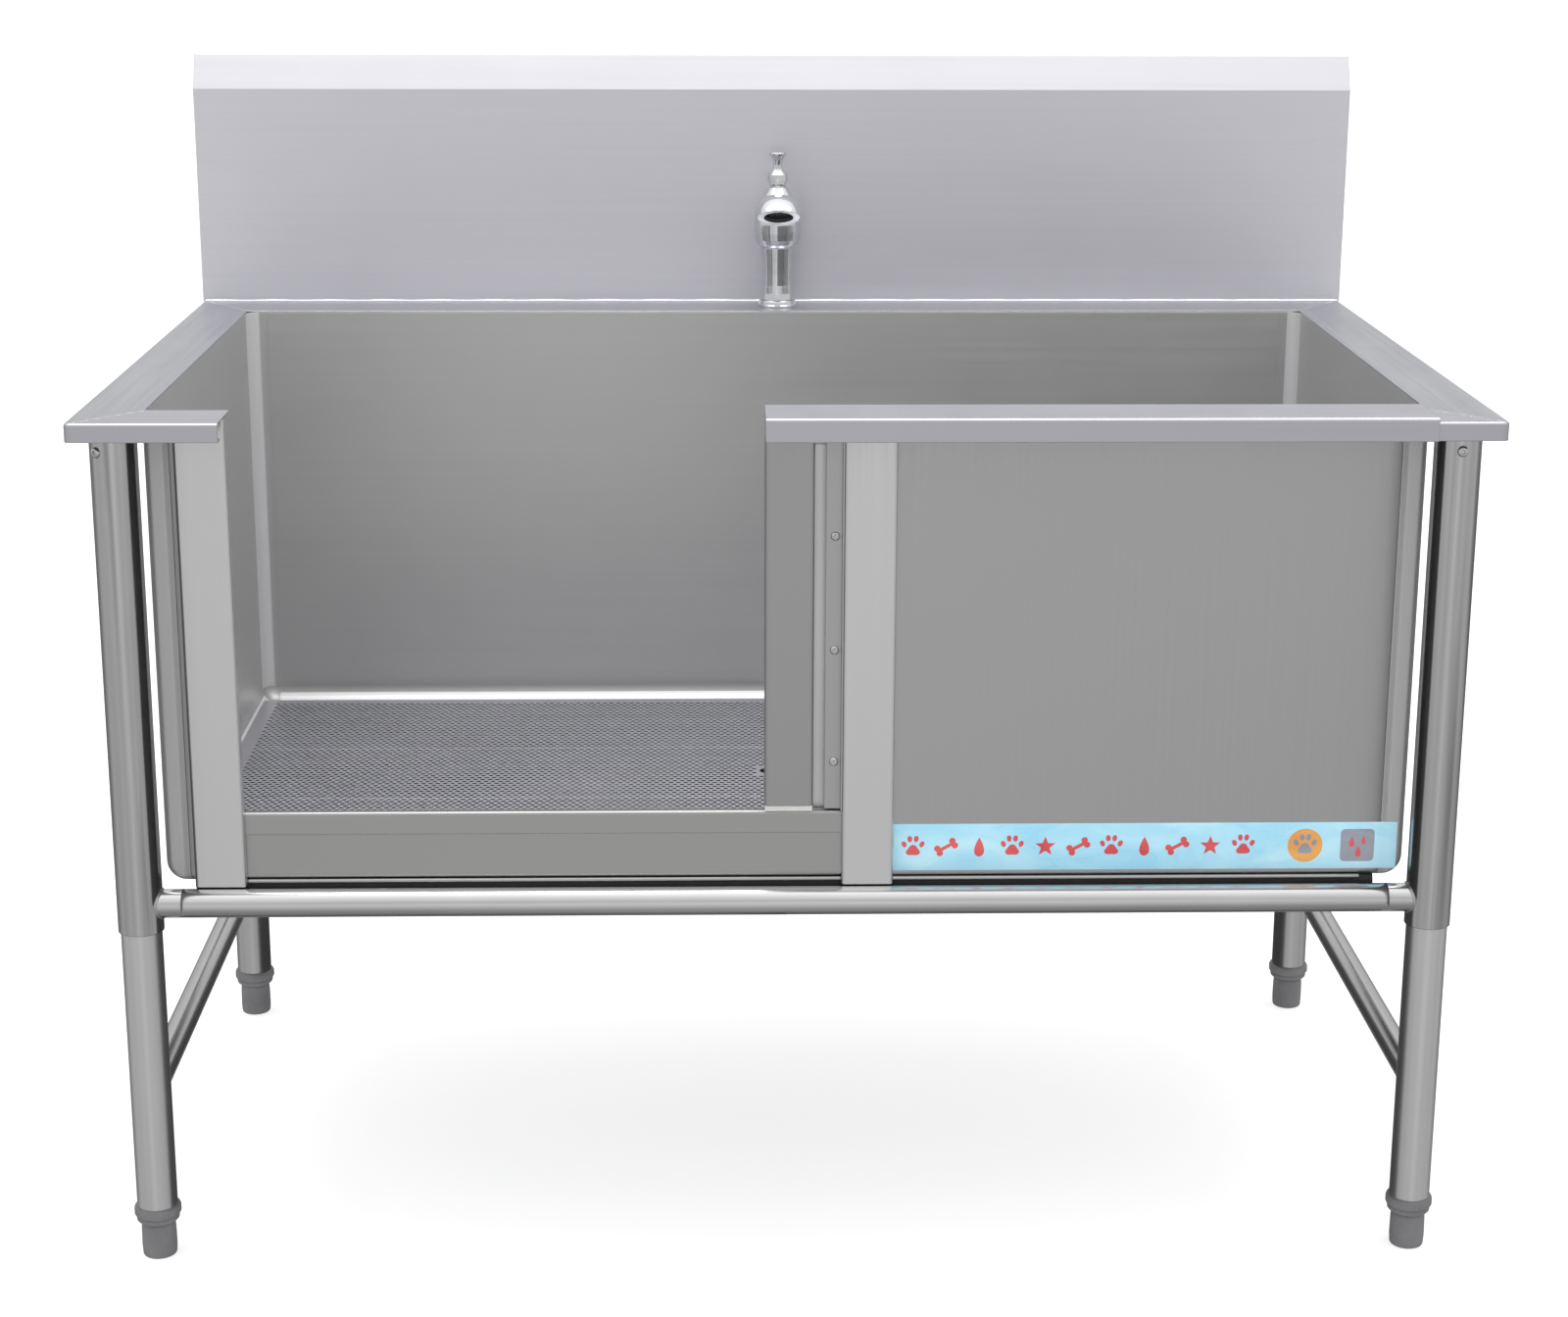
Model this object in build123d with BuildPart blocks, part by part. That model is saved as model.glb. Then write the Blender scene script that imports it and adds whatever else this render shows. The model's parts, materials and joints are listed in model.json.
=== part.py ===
from build123d import *
import os
from math import cos, radians, sin

# Step-in pet bath: a folded stainless tub hung in four tube legs, with a sliding door in
# the front, a splash panel with a pillar tap behind, and a perforated floor in two halves.
# Millimetres. Origin on the floor under the middle of the bath, +X right, -Y front, +Z up.

os.makedirs("parts", exist_ok=True)

# ---- driving dimensions -------------------------------------------------------------
SHEET = 1.5                    # stainless sheet
BEND = 3.0                     # outside radius of a folded edge

HALF_WIDTH = 600.0             # rim and splash panel
RIM_TOP = 770.0
RIM_EDGE = 16.0                # height of the folded rim edge
RIM_LIP = 10.0                 # return under the rim edge
RIM_FRONT = -353.5
RIM_BACK = 345.0               # rear fold of the back deck
RIM_CORNER = 6.0               # rounding of the rim's outer corners

BOWL_HALF = 544.0              # inside face of the side walls
BOWL_FRONT = -291.5            # inner edge of the front rim
BOWL_BACK = 266.5              # inside face of the back wall
WALL_FRONT = -300.5            # outer face of the front wall
TUB_BOTTOM = 352.0
SIDE_BEND = 18.0               # floor to side wall, outside radius
FRONT_BEND = 6.0
BACK_BEND = 16.5
SPLIT_X = 524.0                # side sheets end here, past their bends

SPLASH_FACE = 333.5
SPLASH_BACK = 356.5
SPLASH_FOLD = 990.0            # top of the upright face
SPLASH_TOP = 1025.0
SPLASH_CROWN = 5.0             # level strip along the top
SPLASH_RETURN = 26.0           # rear fold below the top

OPENING = (-474.5, 47.5)       # step-in opening, left and right
STUB_END = -473.0              # end of the short front rim left of the opening
SILL_TOP = 415.0
SILL_CAP_Y = (-302.0, -291.5)
SILL_CAP_DROP = 20.0
POST_FACE = -310.5
POST_LEFT = (-519.0, -474.5)
POST_RIGHT = (47.5, 92.5)
POST_BOTTOM = 349.6

DOOR_X = (-20.5, 540.0)        # door pushed fully open, to the right
DOOR_TOP = 774.0
DOOR_CAP_Y = (-356.5, -288.5)
DOOR_CAP_SKIRT = 20.0          # front fold of the cap
DOOR_PLANE = (-290.0, -288.5)  # the hanging sheet
DOOR_JOINT_Z = 740.0           # cap to sheet
DOOR_BOTTOM = 402.0
EDGE_BOX_X = (-20.5, 22.0)
EDGE_BOX_FRONT = -306.5
EDGE_BOX_BOTTOM = 421.0

GUIDE_X = 32.0                 # free edge of the guide angle beside the right post
GUIDE_SCREW_X = 40.0
GUIDE_SCREW_Z = (460.0, 561.0, 662.0)
GUIDE_HOLE_R = 2.2
RIM_GLIDE_X = (50.0, 440.0)    # left ends of the pads that the door cap slides on
RIM_GLIDE_Y = (-345.0, -330.0)
RIM_GLIDE_LENGTH = 38.0
RIM_GLIDE_HEIGHT = 2.2

GRATE_TOP = 362.0
GRATE_Y = (-271.5, 234.5)
GRATE_SEAM = (19.5, 20.5)
GRATE_HALF = 539.5
GRATE_SKIRT_X = 520.0          # outer skirts stand inside the floor's side bends
GRATE_FOOT = 40.0              # skirt left standing at each corner
GRATE_GAP = 4.0                # water runs under the rest
GRATE_CORNER = 5.0
FINGER_HOLE_R = 11.0           # to lift each half out
FINGER_HOLE_INSET = 30.0       # from the seam

DRAIN_X, DRAIN_Y = 300.0, 120.0
DRAIN_FLANGE_R = 40.0
DRAIN_FLANGE = 1.6             # how far the flange stands above the floor
DRAIN_THROAT_R = 26.5
DRAIN_STRAINER_Z = (347.0, 349.0)
DRAIN_NUT_HEIGHT = 10.0
DRAIN_CLEARANCE = 0.2
DRAIN_PIPE_R = 25.0
DRAIN_PIPE_END = 240.0

LEG_X = 567.5
LEG_Y = {"front": -312.5, "rear": 260.5}
LEG_R = 20.0
LEG_WALL = 1.5
LEG_JOINT = 312.0              # bottom of the upper tube
LEG_OVERLAP = 60.0
LOWER_R = 18.0
COLLAR_Z = (34.0, 49.0)
COLLAR_R = 20.8
STUD_R = 6.0
STUD_LENGTH = 49.0             # above the foot pad
FOOT_R = 15.6
INSERT_LENGTH = 30.0           # part of the insert inside the tube
RAIL_R = 12.7
RAIL_Z = 335.8
STRETCHER_R = 12.5
STRETCHER_Z = 157.0
SET_SCREW_Z = 741.0
SET_SCREW_R = 4.6              # head
SET_SCREW_SHANK_R = 2.5
SOCKET_WALL = 3.0
SOCKET_FIT = 0.1

TAP_X, TAP_Y = 3.0, 302.0
SHANK_R = 10.48                # G 1/2 thread, outside
SHANK_Z = (690.0, 755.0)       # threaded length below the locknut
TAP_SPLIT = 832.0              # column to swivelling head
HEAD_TOP = 877.0
LEVER_PIVOT = 897.0
LEVER_TOP = 929.0
DOME_R = 9.0                   # ball on the bonnet that the lever's cup rides on
CUP_GAP = 0.3
SPINDLE_R = 2.5
PIVOT_R = 1.6                  # pin across the dome
PIVOT_HALF = 7.5
PIVOT_FIT = 0.05

STRIP_X = (92.8, 539.0)
STRIP_Z = (359.0, 402.0)

RIM_UNDER = RIM_TOP - SHEET    # underside of the rim sheet
FLOOR_TOP = TUB_BOTTOM + SHEET


# ---- helpers ------------------------------------------------------------------------
def save(part, label):
    part.label = label
    export_step(part, f"parts/{label}.step")


def block(x, y, z, mode=Mode.ADD):
    """A box between two corners, each axis given as (low, high)."""
    centre = ((x[0] + x[1]) / 2, (y[0] + y[1]) / 2, (z[0] + z[1]) / 2)
    with Locations(centre):
        Box(x[1] - x[0], y[1] - y[0], z[1] - z[0], mode=mode)


def rod(centre, radius, z, mode=Mode.ADD):
    """An upright cylinder between two heights."""
    with Locations((centre[0], centre[1], (z[0] + z[1]) / 2)):
        Cylinder(radius, z[1] - z[0], mode=mode)


def folded_sheet(plane, points, length, radius=BEND, side=Side.RIGHT):
    """Sheet metal folded along points, its outer face, and drawn out by length."""
    with BuildSketch(plane) as profile:
        with BuildLine():
            FilletPolyline(*points, radius=radius)
            offset(amount=SHEET, side=side)
        make_face()
    extrude(profile.sketch, amount=length)


# ---- tub shell ----------------------------------------------------------------------
def tub_block(inset):
    """The tub's outer form, or its hollow when inset by the sheet."""
    half = BOWL_HALF + SHEET - inset
    front = WALL_FRONT + inset
    depth = BOWL_BACK + SHEET - inset - front
    bottom = TUB_BOTTOM + inset
    top = RIM_UNDER + inset
    with BuildPart() as form:
        with BuildSketch(Plane.XZ.offset(-front)) as outline:
            with Locations((0, (bottom + top) / 2)):
                Rectangle(2 * half, top - bottom)
            fillet(outline.vertices().group_by(Axis.Y)[0], SIDE_BEND - inset)
        extrude(amount=-depth)
        for end, bend in ((0, FRONT_BEND), (-1, BACK_BEND)):
            ring = form.edges().group_by(Axis.Y)[end]
            chain = ring.filter_by(lambda edge: edge.center().Z < top - 1)
            fillet(chain, bend - inset)
    return form.part


with BuildPart() as tub_shell:
    add(tub_block(0))
    add(tub_block(SHEET), mode=Mode.SUBTRACT)

FRONT_STRIP = (WALL_FRONT - 1, WALL_FRONT + FRONT_BEND)
BACK_STRIP = (BOWL_BACK + SHEET - BACK_BEND, BOWL_BACK + SHEET + 1)
MIDDLE = (FRONT_STRIP[1], BACK_STRIP[0])
FULL_Y = (FRONT_STRIP[0], BACK_STRIP[1])
FULL_Z = (TUB_BOTTOM - 1, RIM_UNDER + 1)
SHELL_END = BOWL_HALF + SHEET + 1

shell_pieces = {
    "tub_side_left": ((-SHELL_END, -SPLIT_X), FULL_Y, FULL_Z),
    "tub_side_right": ((SPLIT_X, SHELL_END), FULL_Y, FULL_Z),
    "tub_back_wall": ((-SPLIT_X, SPLIT_X), BACK_STRIP, FULL_Z),
    "front_panel_left": ((-SPLIT_X, OPENING[0]), FRONT_STRIP, FULL_Z),
    "front_panel_right": ((OPENING[1], SPLIT_X), FRONT_STRIP, FULL_Z),
    "sill_panel": (OPENING, FRONT_STRIP, (TUB_BOTTOM - 1, SILL_TOP - 3)),
}
for label, (x, y, z) in shell_pieces.items():
    with BuildPart() as shell_piece:
        add(tub_shell.part)
        block(x, y, z, mode=Mode.INTERSECT)
    save(shell_piece.part, label)

with BuildPart() as tub_floor:
    add(tub_shell.part)
    block((-SPLIT_X, SPLIT_X), MIDDLE, (TUB_BOTTOM - 1, FLOOR_TOP + 1), mode=Mode.INTERSECT)
    rod((DRAIN_X, DRAIN_Y), DRAIN_THROAT_R + 0.5, (TUB_BOTTOM - 1, FLOOR_TOP + 1), Mode.SUBTRACT)
save(tub_floor.part, "tub_floor")


# ---- rim and back deck --------------------------------------------------------------
def rim_slab(inset, z, mode=Mode.ADD):
    """A rounded slab of the rim's outline, drawn in by inset."""
    with BuildSketch(Plane.XY.offset(z[0])) as outline:
        with Locations((0, (RIM_FRONT + RIM_BACK) / 2)):
            width = 2 * (HALF_WIDTH - inset)
            depth = RIM_BACK - RIM_FRONT - 2 * inset
            RectangleRounded(width, depth, max(RIM_CORNER - inset, 1.0))
    extrude(outline.sketch, amount=z[1] - z[0], mode=mode)


with BuildPart() as rim_ring:
    rim_slab(0, (RIM_TOP - RIM_EDGE, RIM_TOP))
    fillet(rim_ring.edges().group_by(Axis.Z)[-1], BEND - 0.5)
    rim_slab(SHEET, (RIM_TOP - RIM_EDGE + SHEET, RIM_UNDER), Mode.SUBTRACT)
    rim_slab(SHEET + RIM_LIP, (RIM_TOP - RIM_EDGE, RIM_TOP - RIM_EDGE + SHEET), Mode.SUBTRACT)
    block((-BOWL_HALF, BOWL_HALF), (BOWL_FRONT, BOWL_BACK), (700, 800), mode=Mode.SUBTRACT)


def mitre(inner, outer, reach):
    """A point on a mitre line, reach times its length out from the inner corner."""
    return tuple(a + reach * (b - a) for a, b in zip(inner, outer))


FRONT_CORNER = ((BOWL_HALF, BOWL_FRONT), (HALF_WIDTH, RIM_FRONT))
BACK_CORNER = ((BOWL_HALF, BOWL_BACK), (HALF_WIDTH, RIM_BACK))
fi, fo = mitre(*FRONT_CORNER, -0.3), mitre(*FRONT_CORNER, 1.3)
bi, bo = mitre(*BACK_CORNER, -0.3), mitre(*BACK_CORNER, 1.3)


def mirrored(points):
    return [(-x, y) for x, y in points]


rim_pieces = {
    "rim_right": [fi, fo, bo, bi],
    "rim_left": mirrored([fi, fo, bo, bi]),
    "rim_front_right": [fi, fo, (OPENING[1], fo[1]), (OPENING[1], fi[1])],
    "rim_front_left": [(-fi[0], fi[1]), (-fo[0], fo[1]), (STUB_END, fo[1]), (STUB_END, fi[1])],
    "back_deck": [bi, bo, *mirrored([bo, bi])],
}
for label, outline in rim_pieces.items():
    with BuildPart() as rim_piece:
        with BuildSketch(Plane.XY.offset(RIM_TOP - RIM_EDGE - 1)):
            with BuildLine():
                Polyline(*outline, close=True)
            make_face()
        extrude(amount=RIM_EDGE + 2)
        add(rim_ring.part, mode=Mode.INTERSECT)
        if label == "back_deck":
            rod((TAP_X, TAP_Y), SHANK_R + 0.5, (RIM_UNDER - 1, RIM_TOP + 1), Mode.SUBTRACT)
    save(rim_piece.part, label)

# ---- splash panel -------------------------------------------------------------------
splash_fold = [
    (SPLASH_FACE, RIM_TOP),
    (SPLASH_FACE, SPLASH_FOLD),
    (SPLASH_BACK - SPLASH_CROWN, SPLASH_TOP),
    (SPLASH_BACK, SPLASH_TOP),
    (SPLASH_BACK, SPLASH_TOP - SPLASH_RETURN),
]
with BuildPart() as splash_panel:
    folded_sheet(Plane.YZ.offset(-HALF_WIDTH), splash_fold, 2 * HALF_WIDTH, radius=2.0)
save(splash_panel.part, "splash_panel")

with BuildPart() as splash_ends:
    for start in (-HALF_WIDTH, HALF_WIDTH - SHEET):
        with BuildSketch(Plane.YZ.offset(start)):
            with BuildLine():
                Polyline(
                    (SPLASH_FACE + SHEET / 2, RIM_TOP),
                    (SPLASH_FACE + SHEET / 2, SPLASH_FOLD),
                    (SPLASH_BACK - SPLASH_CROWN + 0.5, SPLASH_TOP - 0.8),
                    (SPLASH_BACK - 0.7, SPLASH_TOP - 0.8),
                    (SPLASH_BACK - 0.7, SPLASH_TOP - SPLASH_RETURN),
                    (RIM_BACK, RIM_TOP + 60),
                    (RIM_BACK, RIM_TOP),
                    close=True,
                )
            make_face()
        extrude(amount=SHEET)
    add(splash_panel.part, mode=Mode.SUBTRACT)
save(splash_ends.part, "splash_ends")

# ---- doorway: posts, sill cap, guide -----------------------------------------------
for label, post in (("post_left", POST_LEFT), ("post_right", POST_RIGHT)):
    channel = [
        (post[0], WALL_FRONT),
        (post[0], POST_FACE),
        (post[1], POST_FACE),
        (post[1], WALL_FRONT),
    ]
    with BuildPart() as door_post:
        folded_sheet(Plane.XY.offset(POST_BOTTOM), channel, RIM_UNDER - POST_BOTTOM, side=Side.LEFT)
    save(door_post.part, label)

sill_fold = [
    (SILL_CAP_Y[0], SILL_TOP - SILL_CAP_DROP),
    (SILL_CAP_Y[0], SILL_TOP),
    (SILL_CAP_Y[1], SILL_TOP),
    (SILL_CAP_Y[1], SILL_TOP - SILL_CAP_DROP),
]
with BuildPart() as sill_cap:
    folded_sheet(Plane.YZ.offset(OPENING[0]), sill_fold, OPENING[1] - OPENING[0], radius=2.5)
save(sill_cap.part, "sill_cap")

with BuildPart() as sill_seal:
    block(OPENING, (SILL_CAP_Y[1], DOOR_PLANE[0] - 0.3), (SILL_TOP - 18, SILL_TOP - 4))
save(sill_seal.part, "sill_seal")

GUIDE_BACK = -300.0            # rear face of the guide angle's leaf
guide_fold = [(OPENING[1], POST_FACE + SHEET), (OPENING[1], GUIDE_BACK), (GUIDE_X, GUIDE_BACK)]
GUIDE_Z = (SILL_TOP + 2, RIM_UNDER - 2.5)
PAD_X = (GUIDE_X + 1, OPENING[1] - SHEET)
PAD_Y = (GUIDE_BACK, DOOR_PLANE[0] - 0.3)


def guide_holes():
    with Locations(*[(GUIDE_SCREW_X, GUIDE_BACK, z) for z in GUIDE_SCREW_Z]):
        Cylinder(GUIDE_HOLE_R, 30, rotation=(90, 0, 0), mode=Mode.SUBTRACT)


with BuildPart() as guide_angle:
    folded_sheet(Plane.XY.offset(GUIDE_Z[0]), guide_fold, GUIDE_Z[1] - GUIDE_Z[0], 2.5, Side.LEFT)
    guide_holes()
save(guide_angle.part, "guide_angle")

with BuildPart() as guide_pad:
    block(PAD_X, PAD_Y, (GUIDE_Z[0] + 4, GUIDE_Z[1] - 4))
    guide_holes()
save(guide_pad.part, "guide_pad")

with BuildPart() as guide_screws:
    for z in GUIDE_SCREW_Z:
        head = Plane(origin=(GUIDE_SCREW_X, GUIDE_BACK - SHEET, z), z_dir=(0, -1, 0))
        with BuildSketch(head):
            Circle(4.0)
        extrude(amount=2.2)
        with BuildSketch(head):
            Circle(2.0)
        extrude(amount=-9.0)
    domes = guide_screws.edges().group_by(Axis.Y)[0]
    fillet(domes, 1.2)
save(guide_screws.part, "guide_screws")

with BuildPart() as rim_glides:
    for start in RIM_GLIDE_X:
        pad_x = (start, start + RIM_GLIDE_LENGTH)
        block(pad_x, RIM_GLIDE_Y, (RIM_TOP, RIM_TOP + RIM_GLIDE_HEIGHT))
    fillet(rim_glides.edges().filter_by(Axis.Y).group_by(Axis.Z)[-1], 1.0)
save(rim_glides.part, "rim_glides")

with BuildPart() as info_strip:
    block(STRIP_X, (WALL_FRONT - 0.4, WALL_FRONT), STRIP_Z)
save(info_strip.part, "info_strip")

# ---- sliding door -------------------------------------------------------------------
cap_fold = [
    (DOOR_CAP_Y[0], DOOR_TOP - DOOR_CAP_SKIRT),
    (DOOR_CAP_Y[0], DOOR_TOP),
    (DOOR_CAP_Y[1], DOOR_TOP),
    (DOOR_CAP_Y[1], DOOR_JOINT_Z),
]
with BuildPart() as door_cap:
    folded_sheet(Plane.YZ.offset(DOOR_X[0]), cap_fold, DOOR_X[1] - DOOR_X[0])
    end_y = (DOOR_CAP_Y[0] + SHEET, EDGE_BOX_FRONT)
    end_z = (DOOR_TOP - DOOR_CAP_SKIRT, DOOR_TOP - SHEET)
    block((DOOR_X[0], DOOR_X[0] + SHEET), end_y, end_z)
save(door_cap.part, "door_cap")

with BuildPart() as door_sheet:
    block(DOOR_X, DOOR_PLANE, (DOOR_BOTTOM, DOOR_JOINT_Z))
save(door_sheet.part, "door_sheet")

with BuildPart() as door_edge_box:
    box_z = (EDGE_BOX_BOTTOM, DOOR_TOP - SHEET - 2)
    block(EDGE_BOX_X, (EDGE_BOX_FRONT, DOOR_PLANE[0]), box_z)
    fillet(door_edge_box.edges().filter_by(Axis.Z).group_by(Axis.Y)[0], BEND)
    inner_x = (EDGE_BOX_X[0] + SHEET, EDGE_BOX_X[1] - SHEET)
    inner_y = (EDGE_BOX_FRONT + SHEET, DOOR_PLANE[0] - SHEET)
    block(inner_x, inner_y, box_z, mode=Mode.SUBTRACT)
save(door_edge_box.part, "door_edge_box")

with BuildPart() as door_shoe:
    shoe_y = (EDGE_BOX_FRONT + 3.5, DOOR_PLANE[0] - 2.5)
    block((EDGE_BOX_X[0] + 0.5, EDGE_BOX_X[1] - 0.5), shoe_y, (SILL_TOP + 0.3, EDGE_BOX_BOTTOM))
    plug_x = (inner_x[0] + 0.2, inner_x[1] - 0.2)
    plug_y = (inner_y[0] + 0.2, inner_y[1] - 0.2)
    block(plug_x, plug_y, (EDGE_BOX_BOTTOM, EDGE_BOX_BOTTOM + 14))
save(door_shoe.part, "door_shoe")

# ---- lift-out floor -----------------------------------------------------------------
grates = {
    "floor_grate_left": (-GRATE_HALF, GRATE_SEAM[0]),
    "floor_grate_right": (GRATE_SEAM[1], GRATE_HALF),
}
for label, x in grates.items():
    left = label.endswith("left")
    skirt_x = (-GRATE_SKIRT_X, x[1]) if left else (x[0], GRATE_SKIRT_X)
    grip_x = x[1] - FINGER_HOLE_INSET if left else x[0] + FINGER_HOLE_INSET
    skirt_z = (FLOOR_TOP, GRATE_TOP - SHEET)
    gap_z = (FLOOR_TOP, FLOOR_TOP + GRATE_GAP)
    with BuildPart() as grate:
        block(x, GRATE_Y, (GRATE_TOP - SHEET, GRATE_TOP))
        fillet(grate.edges().filter_by(Axis.Z), GRATE_CORNER)
        block(skirt_x, GRATE_Y, skirt_z)
        inside = [(span[0] + SHEET, span[1] - SHEET) for span in (skirt_x, GRATE_Y)]
        block(*inside, skirt_z, Mode.SUBTRACT)
        between = [(span[0] + GRATE_FOOT, span[1] - GRATE_FOOT) for span in (skirt_x, GRATE_Y)]
        block(between[0], GRATE_Y, gap_z, Mode.SUBTRACT)
        block(skirt_x, between[1], gap_z, Mode.SUBTRACT)
        hole_z = (FLOOR_TOP, GRATE_TOP + 1)
        rod((grip_x, sum(GRATE_Y) / 2), FINGER_HOLE_R, hole_z, Mode.SUBTRACT)
    save(grate.part, label)

# ---- waste fitting ------------------------------------------------------------------
DRAIN = (DRAIN_X, DRAIN_Y)
THROAT_BORE = DRAIN_THROAT_R - 3
THROAT_END = 318.0
SOCKET_END = THROAT_END + 14   # how far the tailpiece reaches into the throat

with BuildPart() as drain_flange:
    rod(DRAIN, DRAIN_FLANGE_R, (FLOOR_TOP, FLOOR_TOP + DRAIN_FLANGE))
    fillet(drain_flange.edges().group_by(Axis.Z)[-1], 1.0)
    rod(DRAIN, DRAIN_THROAT_R, (THROAT_END, FLOOR_TOP))
    rod(DRAIN, THROAT_BORE, (THROAT_END, FLOOR_TOP + 2), Mode.SUBTRACT)
    rod(DRAIN, THROAT_BORE, DRAIN_STRAINER_Z)
    with Locations((DRAIN_X, DRAIN_Y, sum(DRAIN_STRAINER_Z) / 2)):
        Cylinder(3.5, 4, mode=Mode.SUBTRACT)
        with PolarLocations(9, 6):
            Cylinder(3.5, 4, mode=Mode.SUBTRACT)
        with PolarLocations(18, 12, start_angle=15):
            Cylinder(3.2, 4, mode=Mode.SUBTRACT)
save(drain_flange.part, "drain_flange")

GASKET_Z = (TUB_BOTTOM - 3, TUB_BOTTOM)
with BuildPart() as drain_gasket:
    rod(DRAIN, DRAIN_FLANGE_R - 2, GASKET_Z)
    rod(DRAIN, DRAIN_THROAT_R + DRAIN_CLEARANCE, GASKET_Z, Mode.SUBTRACT)
save(drain_gasket.part, "drain_gasket")

with BuildPart() as drain_locknut:
    with BuildSketch(Plane.XY.offset(GASKET_Z[0] - DRAIN_NUT_HEIGHT)):
        with Locations(DRAIN):
            RegularPolygon(DRAIN_FLANGE_R - 2, 6)
            Circle(DRAIN_THROAT_R + DRAIN_CLEARANCE, mode=Mode.SUBTRACT)
    extrude(amount=DRAIN_NUT_HEIGHT)
save(drain_locknut.part, "drain_locknut")

with BuildPart() as drain_tailpiece:
    rod(DRAIN, DRAIN_PIPE_R, (DRAIN_PIPE_END, THROAT_END))
    rod(DRAIN, THROAT_BORE - DRAIN_CLEARANCE, (THROAT_END, SOCKET_END))
    rod(DRAIN, THROAT_BORE - 2.5, (DRAIN_PIPE_END, SOCKET_END), Mode.SUBTRACT)
save(drain_tailpiece.part, "drain_tailpiece")

# ---- legs, rails and feet -----------------------------------------------------------
legs = {
    f"{end}_{side}": (sign * LEG_X, LEG_Y[end])
    for end in ("front", "rear")
    for side, sign in (("left", -1), ("right", 1))
}
SCREW_AZIMUTH = {"front_left": 235, "front_right": 268, "rear_left": 125, "rear_right": 55}
SOCKET_Z = (715.0, RIM_UNDER - 2)
SOCKET_R = LEG_R - LEG_WALL - SOCKET_FIT


def screw_plane(name):
    """Plane on the leg's outside where its set screw sits, facing out."""
    angle = radians(SCREW_AZIMUTH[name])
    out = (cos(angle), sin(angle), 0)
    x, y = legs[name]
    return Plane(origin=(x + LEG_R * out[0], y + LEG_R * out[1], SET_SCREW_Z), z_dir=out)


def screw_hole(name):
    with BuildSketch(screw_plane(name)) as hole:
        Circle(SET_SCREW_SHANK_R + 0.3)
    extrude(hole.sketch, amount=-14, mode=Mode.SUBTRACT)


with BuildPart() as leg_sockets:
    for name, (x, y) in legs.items():
        rod((x, y), SOCKET_R, SOCKET_Z)
        block((x - 19.5, x + 19.5), (y - 21, y + 21), (SOCKET_Z[1], RIM_UNDER))
        hollow_z = (SOCKET_Z[0] - 1, SOCKET_Z[1] - SOCKET_WALL)
        rod((x, y), SOCKET_R - SOCKET_WALL, hollow_z, Mode.SUBTRACT)
        screw_hole(name)
save(leg_sockets.part, "leg_sockets")

with BuildPart() as set_screws:
    for name in legs:
        with BuildSketch(screw_plane(name).offset(-0.6)):
            Circle(SET_SCREW_R)
        extrude(amount=3.0)
        with BuildSketch(screw_plane(name)):
            Circle(SET_SCREW_SHANK_R)
        extrude(amount=-9)
save(set_screws.part, "set_screws")

for name, (x, y) in legs.items():
    with BuildPart() as leg_upper:
        rod((x, y), LEG_R, (LEG_JOINT, SOCKET_Z[1]))
        rod((x, y), LEG_R - LEG_WALL, (LEG_JOINT, SOCKET_Z[1]), Mode.SUBTRACT)
        with BuildSketch(screw_plane(name).offset(1)):
            Circle(SET_SCREW_R)
        extrude(amount=-1.6, mode=Mode.SUBTRACT)
        screw_hole(name)
    save(leg_upper.part, f"leg_upper_{name}")

    with BuildPart() as leg_lower:
        rod((x, y), LOWER_R, (COLLAR_Z[1], LEG_JOINT + LEG_OVERLAP))
        rod((x, y), LOWER_R - LEG_WALL, (COLLAR_Z[1], LEG_JOINT + LEG_OVERLAP), Mode.SUBTRACT)
        rod((x, y), LEG_R - LEG_WALL, (LEG_JOINT + 8, LEG_JOINT + 20))
        rod((x, y), LOWER_R - LEG_WALL, (LEG_JOINT, LEG_JOINT + 30), Mode.SUBTRACT)
    save(leg_lower.part, f"leg_lower_{name}")

    with BuildPart() as foot:
        rod((x, y), FOOT_R, (0, COLLAR_Z[0]))
        fillet(foot.edges().group_by(Axis.Z)[0], 2.5)
        rod((x, y), STUD_R, (COLLAR_Z[0], COLLAR_Z[0] + STUD_LENGTH))
        chamfer(foot.edges().group_by(Axis.Z)[-1], 1)
    save(foot.part, f"foot_{name}")

with BuildPart() as leg_inserts:
    for x, y in legs.values():
        rod((x, y), COLLAR_R, COLLAR_Z)
        rod((x, y), LOWER_R - LEG_WALL - 0.1, (COLLAR_Z[1], COLLAR_Z[1] + INSERT_LENGTH))
        bore_z = (COLLAR_Z[0], COLLAR_Z[1] + INSERT_LENGTH)
        rod((x, y), STUD_R + 0.05, bore_z, Mode.SUBTRACT)
    fillet(leg_inserts.edges().group_by(Axis.Z)[0].filter_by(lambda e: e.radius > 10), 1.5)
save(leg_inserts.part, "leg_inserts")

for end, y in LEG_Y.items():
    with BuildPart() as rail:
        with Locations((0, y, RAIL_Z)):
            Cylinder(RAIL_R, 2 * LEG_X, rotation=(0, 90, 0))
            Cylinder(RAIL_R - SHEET, 2 * LEG_X, rotation=(0, 90, 0), mode=Mode.SUBTRACT)
        for x in (-LEG_X, LEG_X):
            rod((x, y), LEG_R, (RAIL_Z - 40, RAIL_Z + 40), Mode.SUBTRACT)
    save(rail.part, f"rail_{end}")

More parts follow.
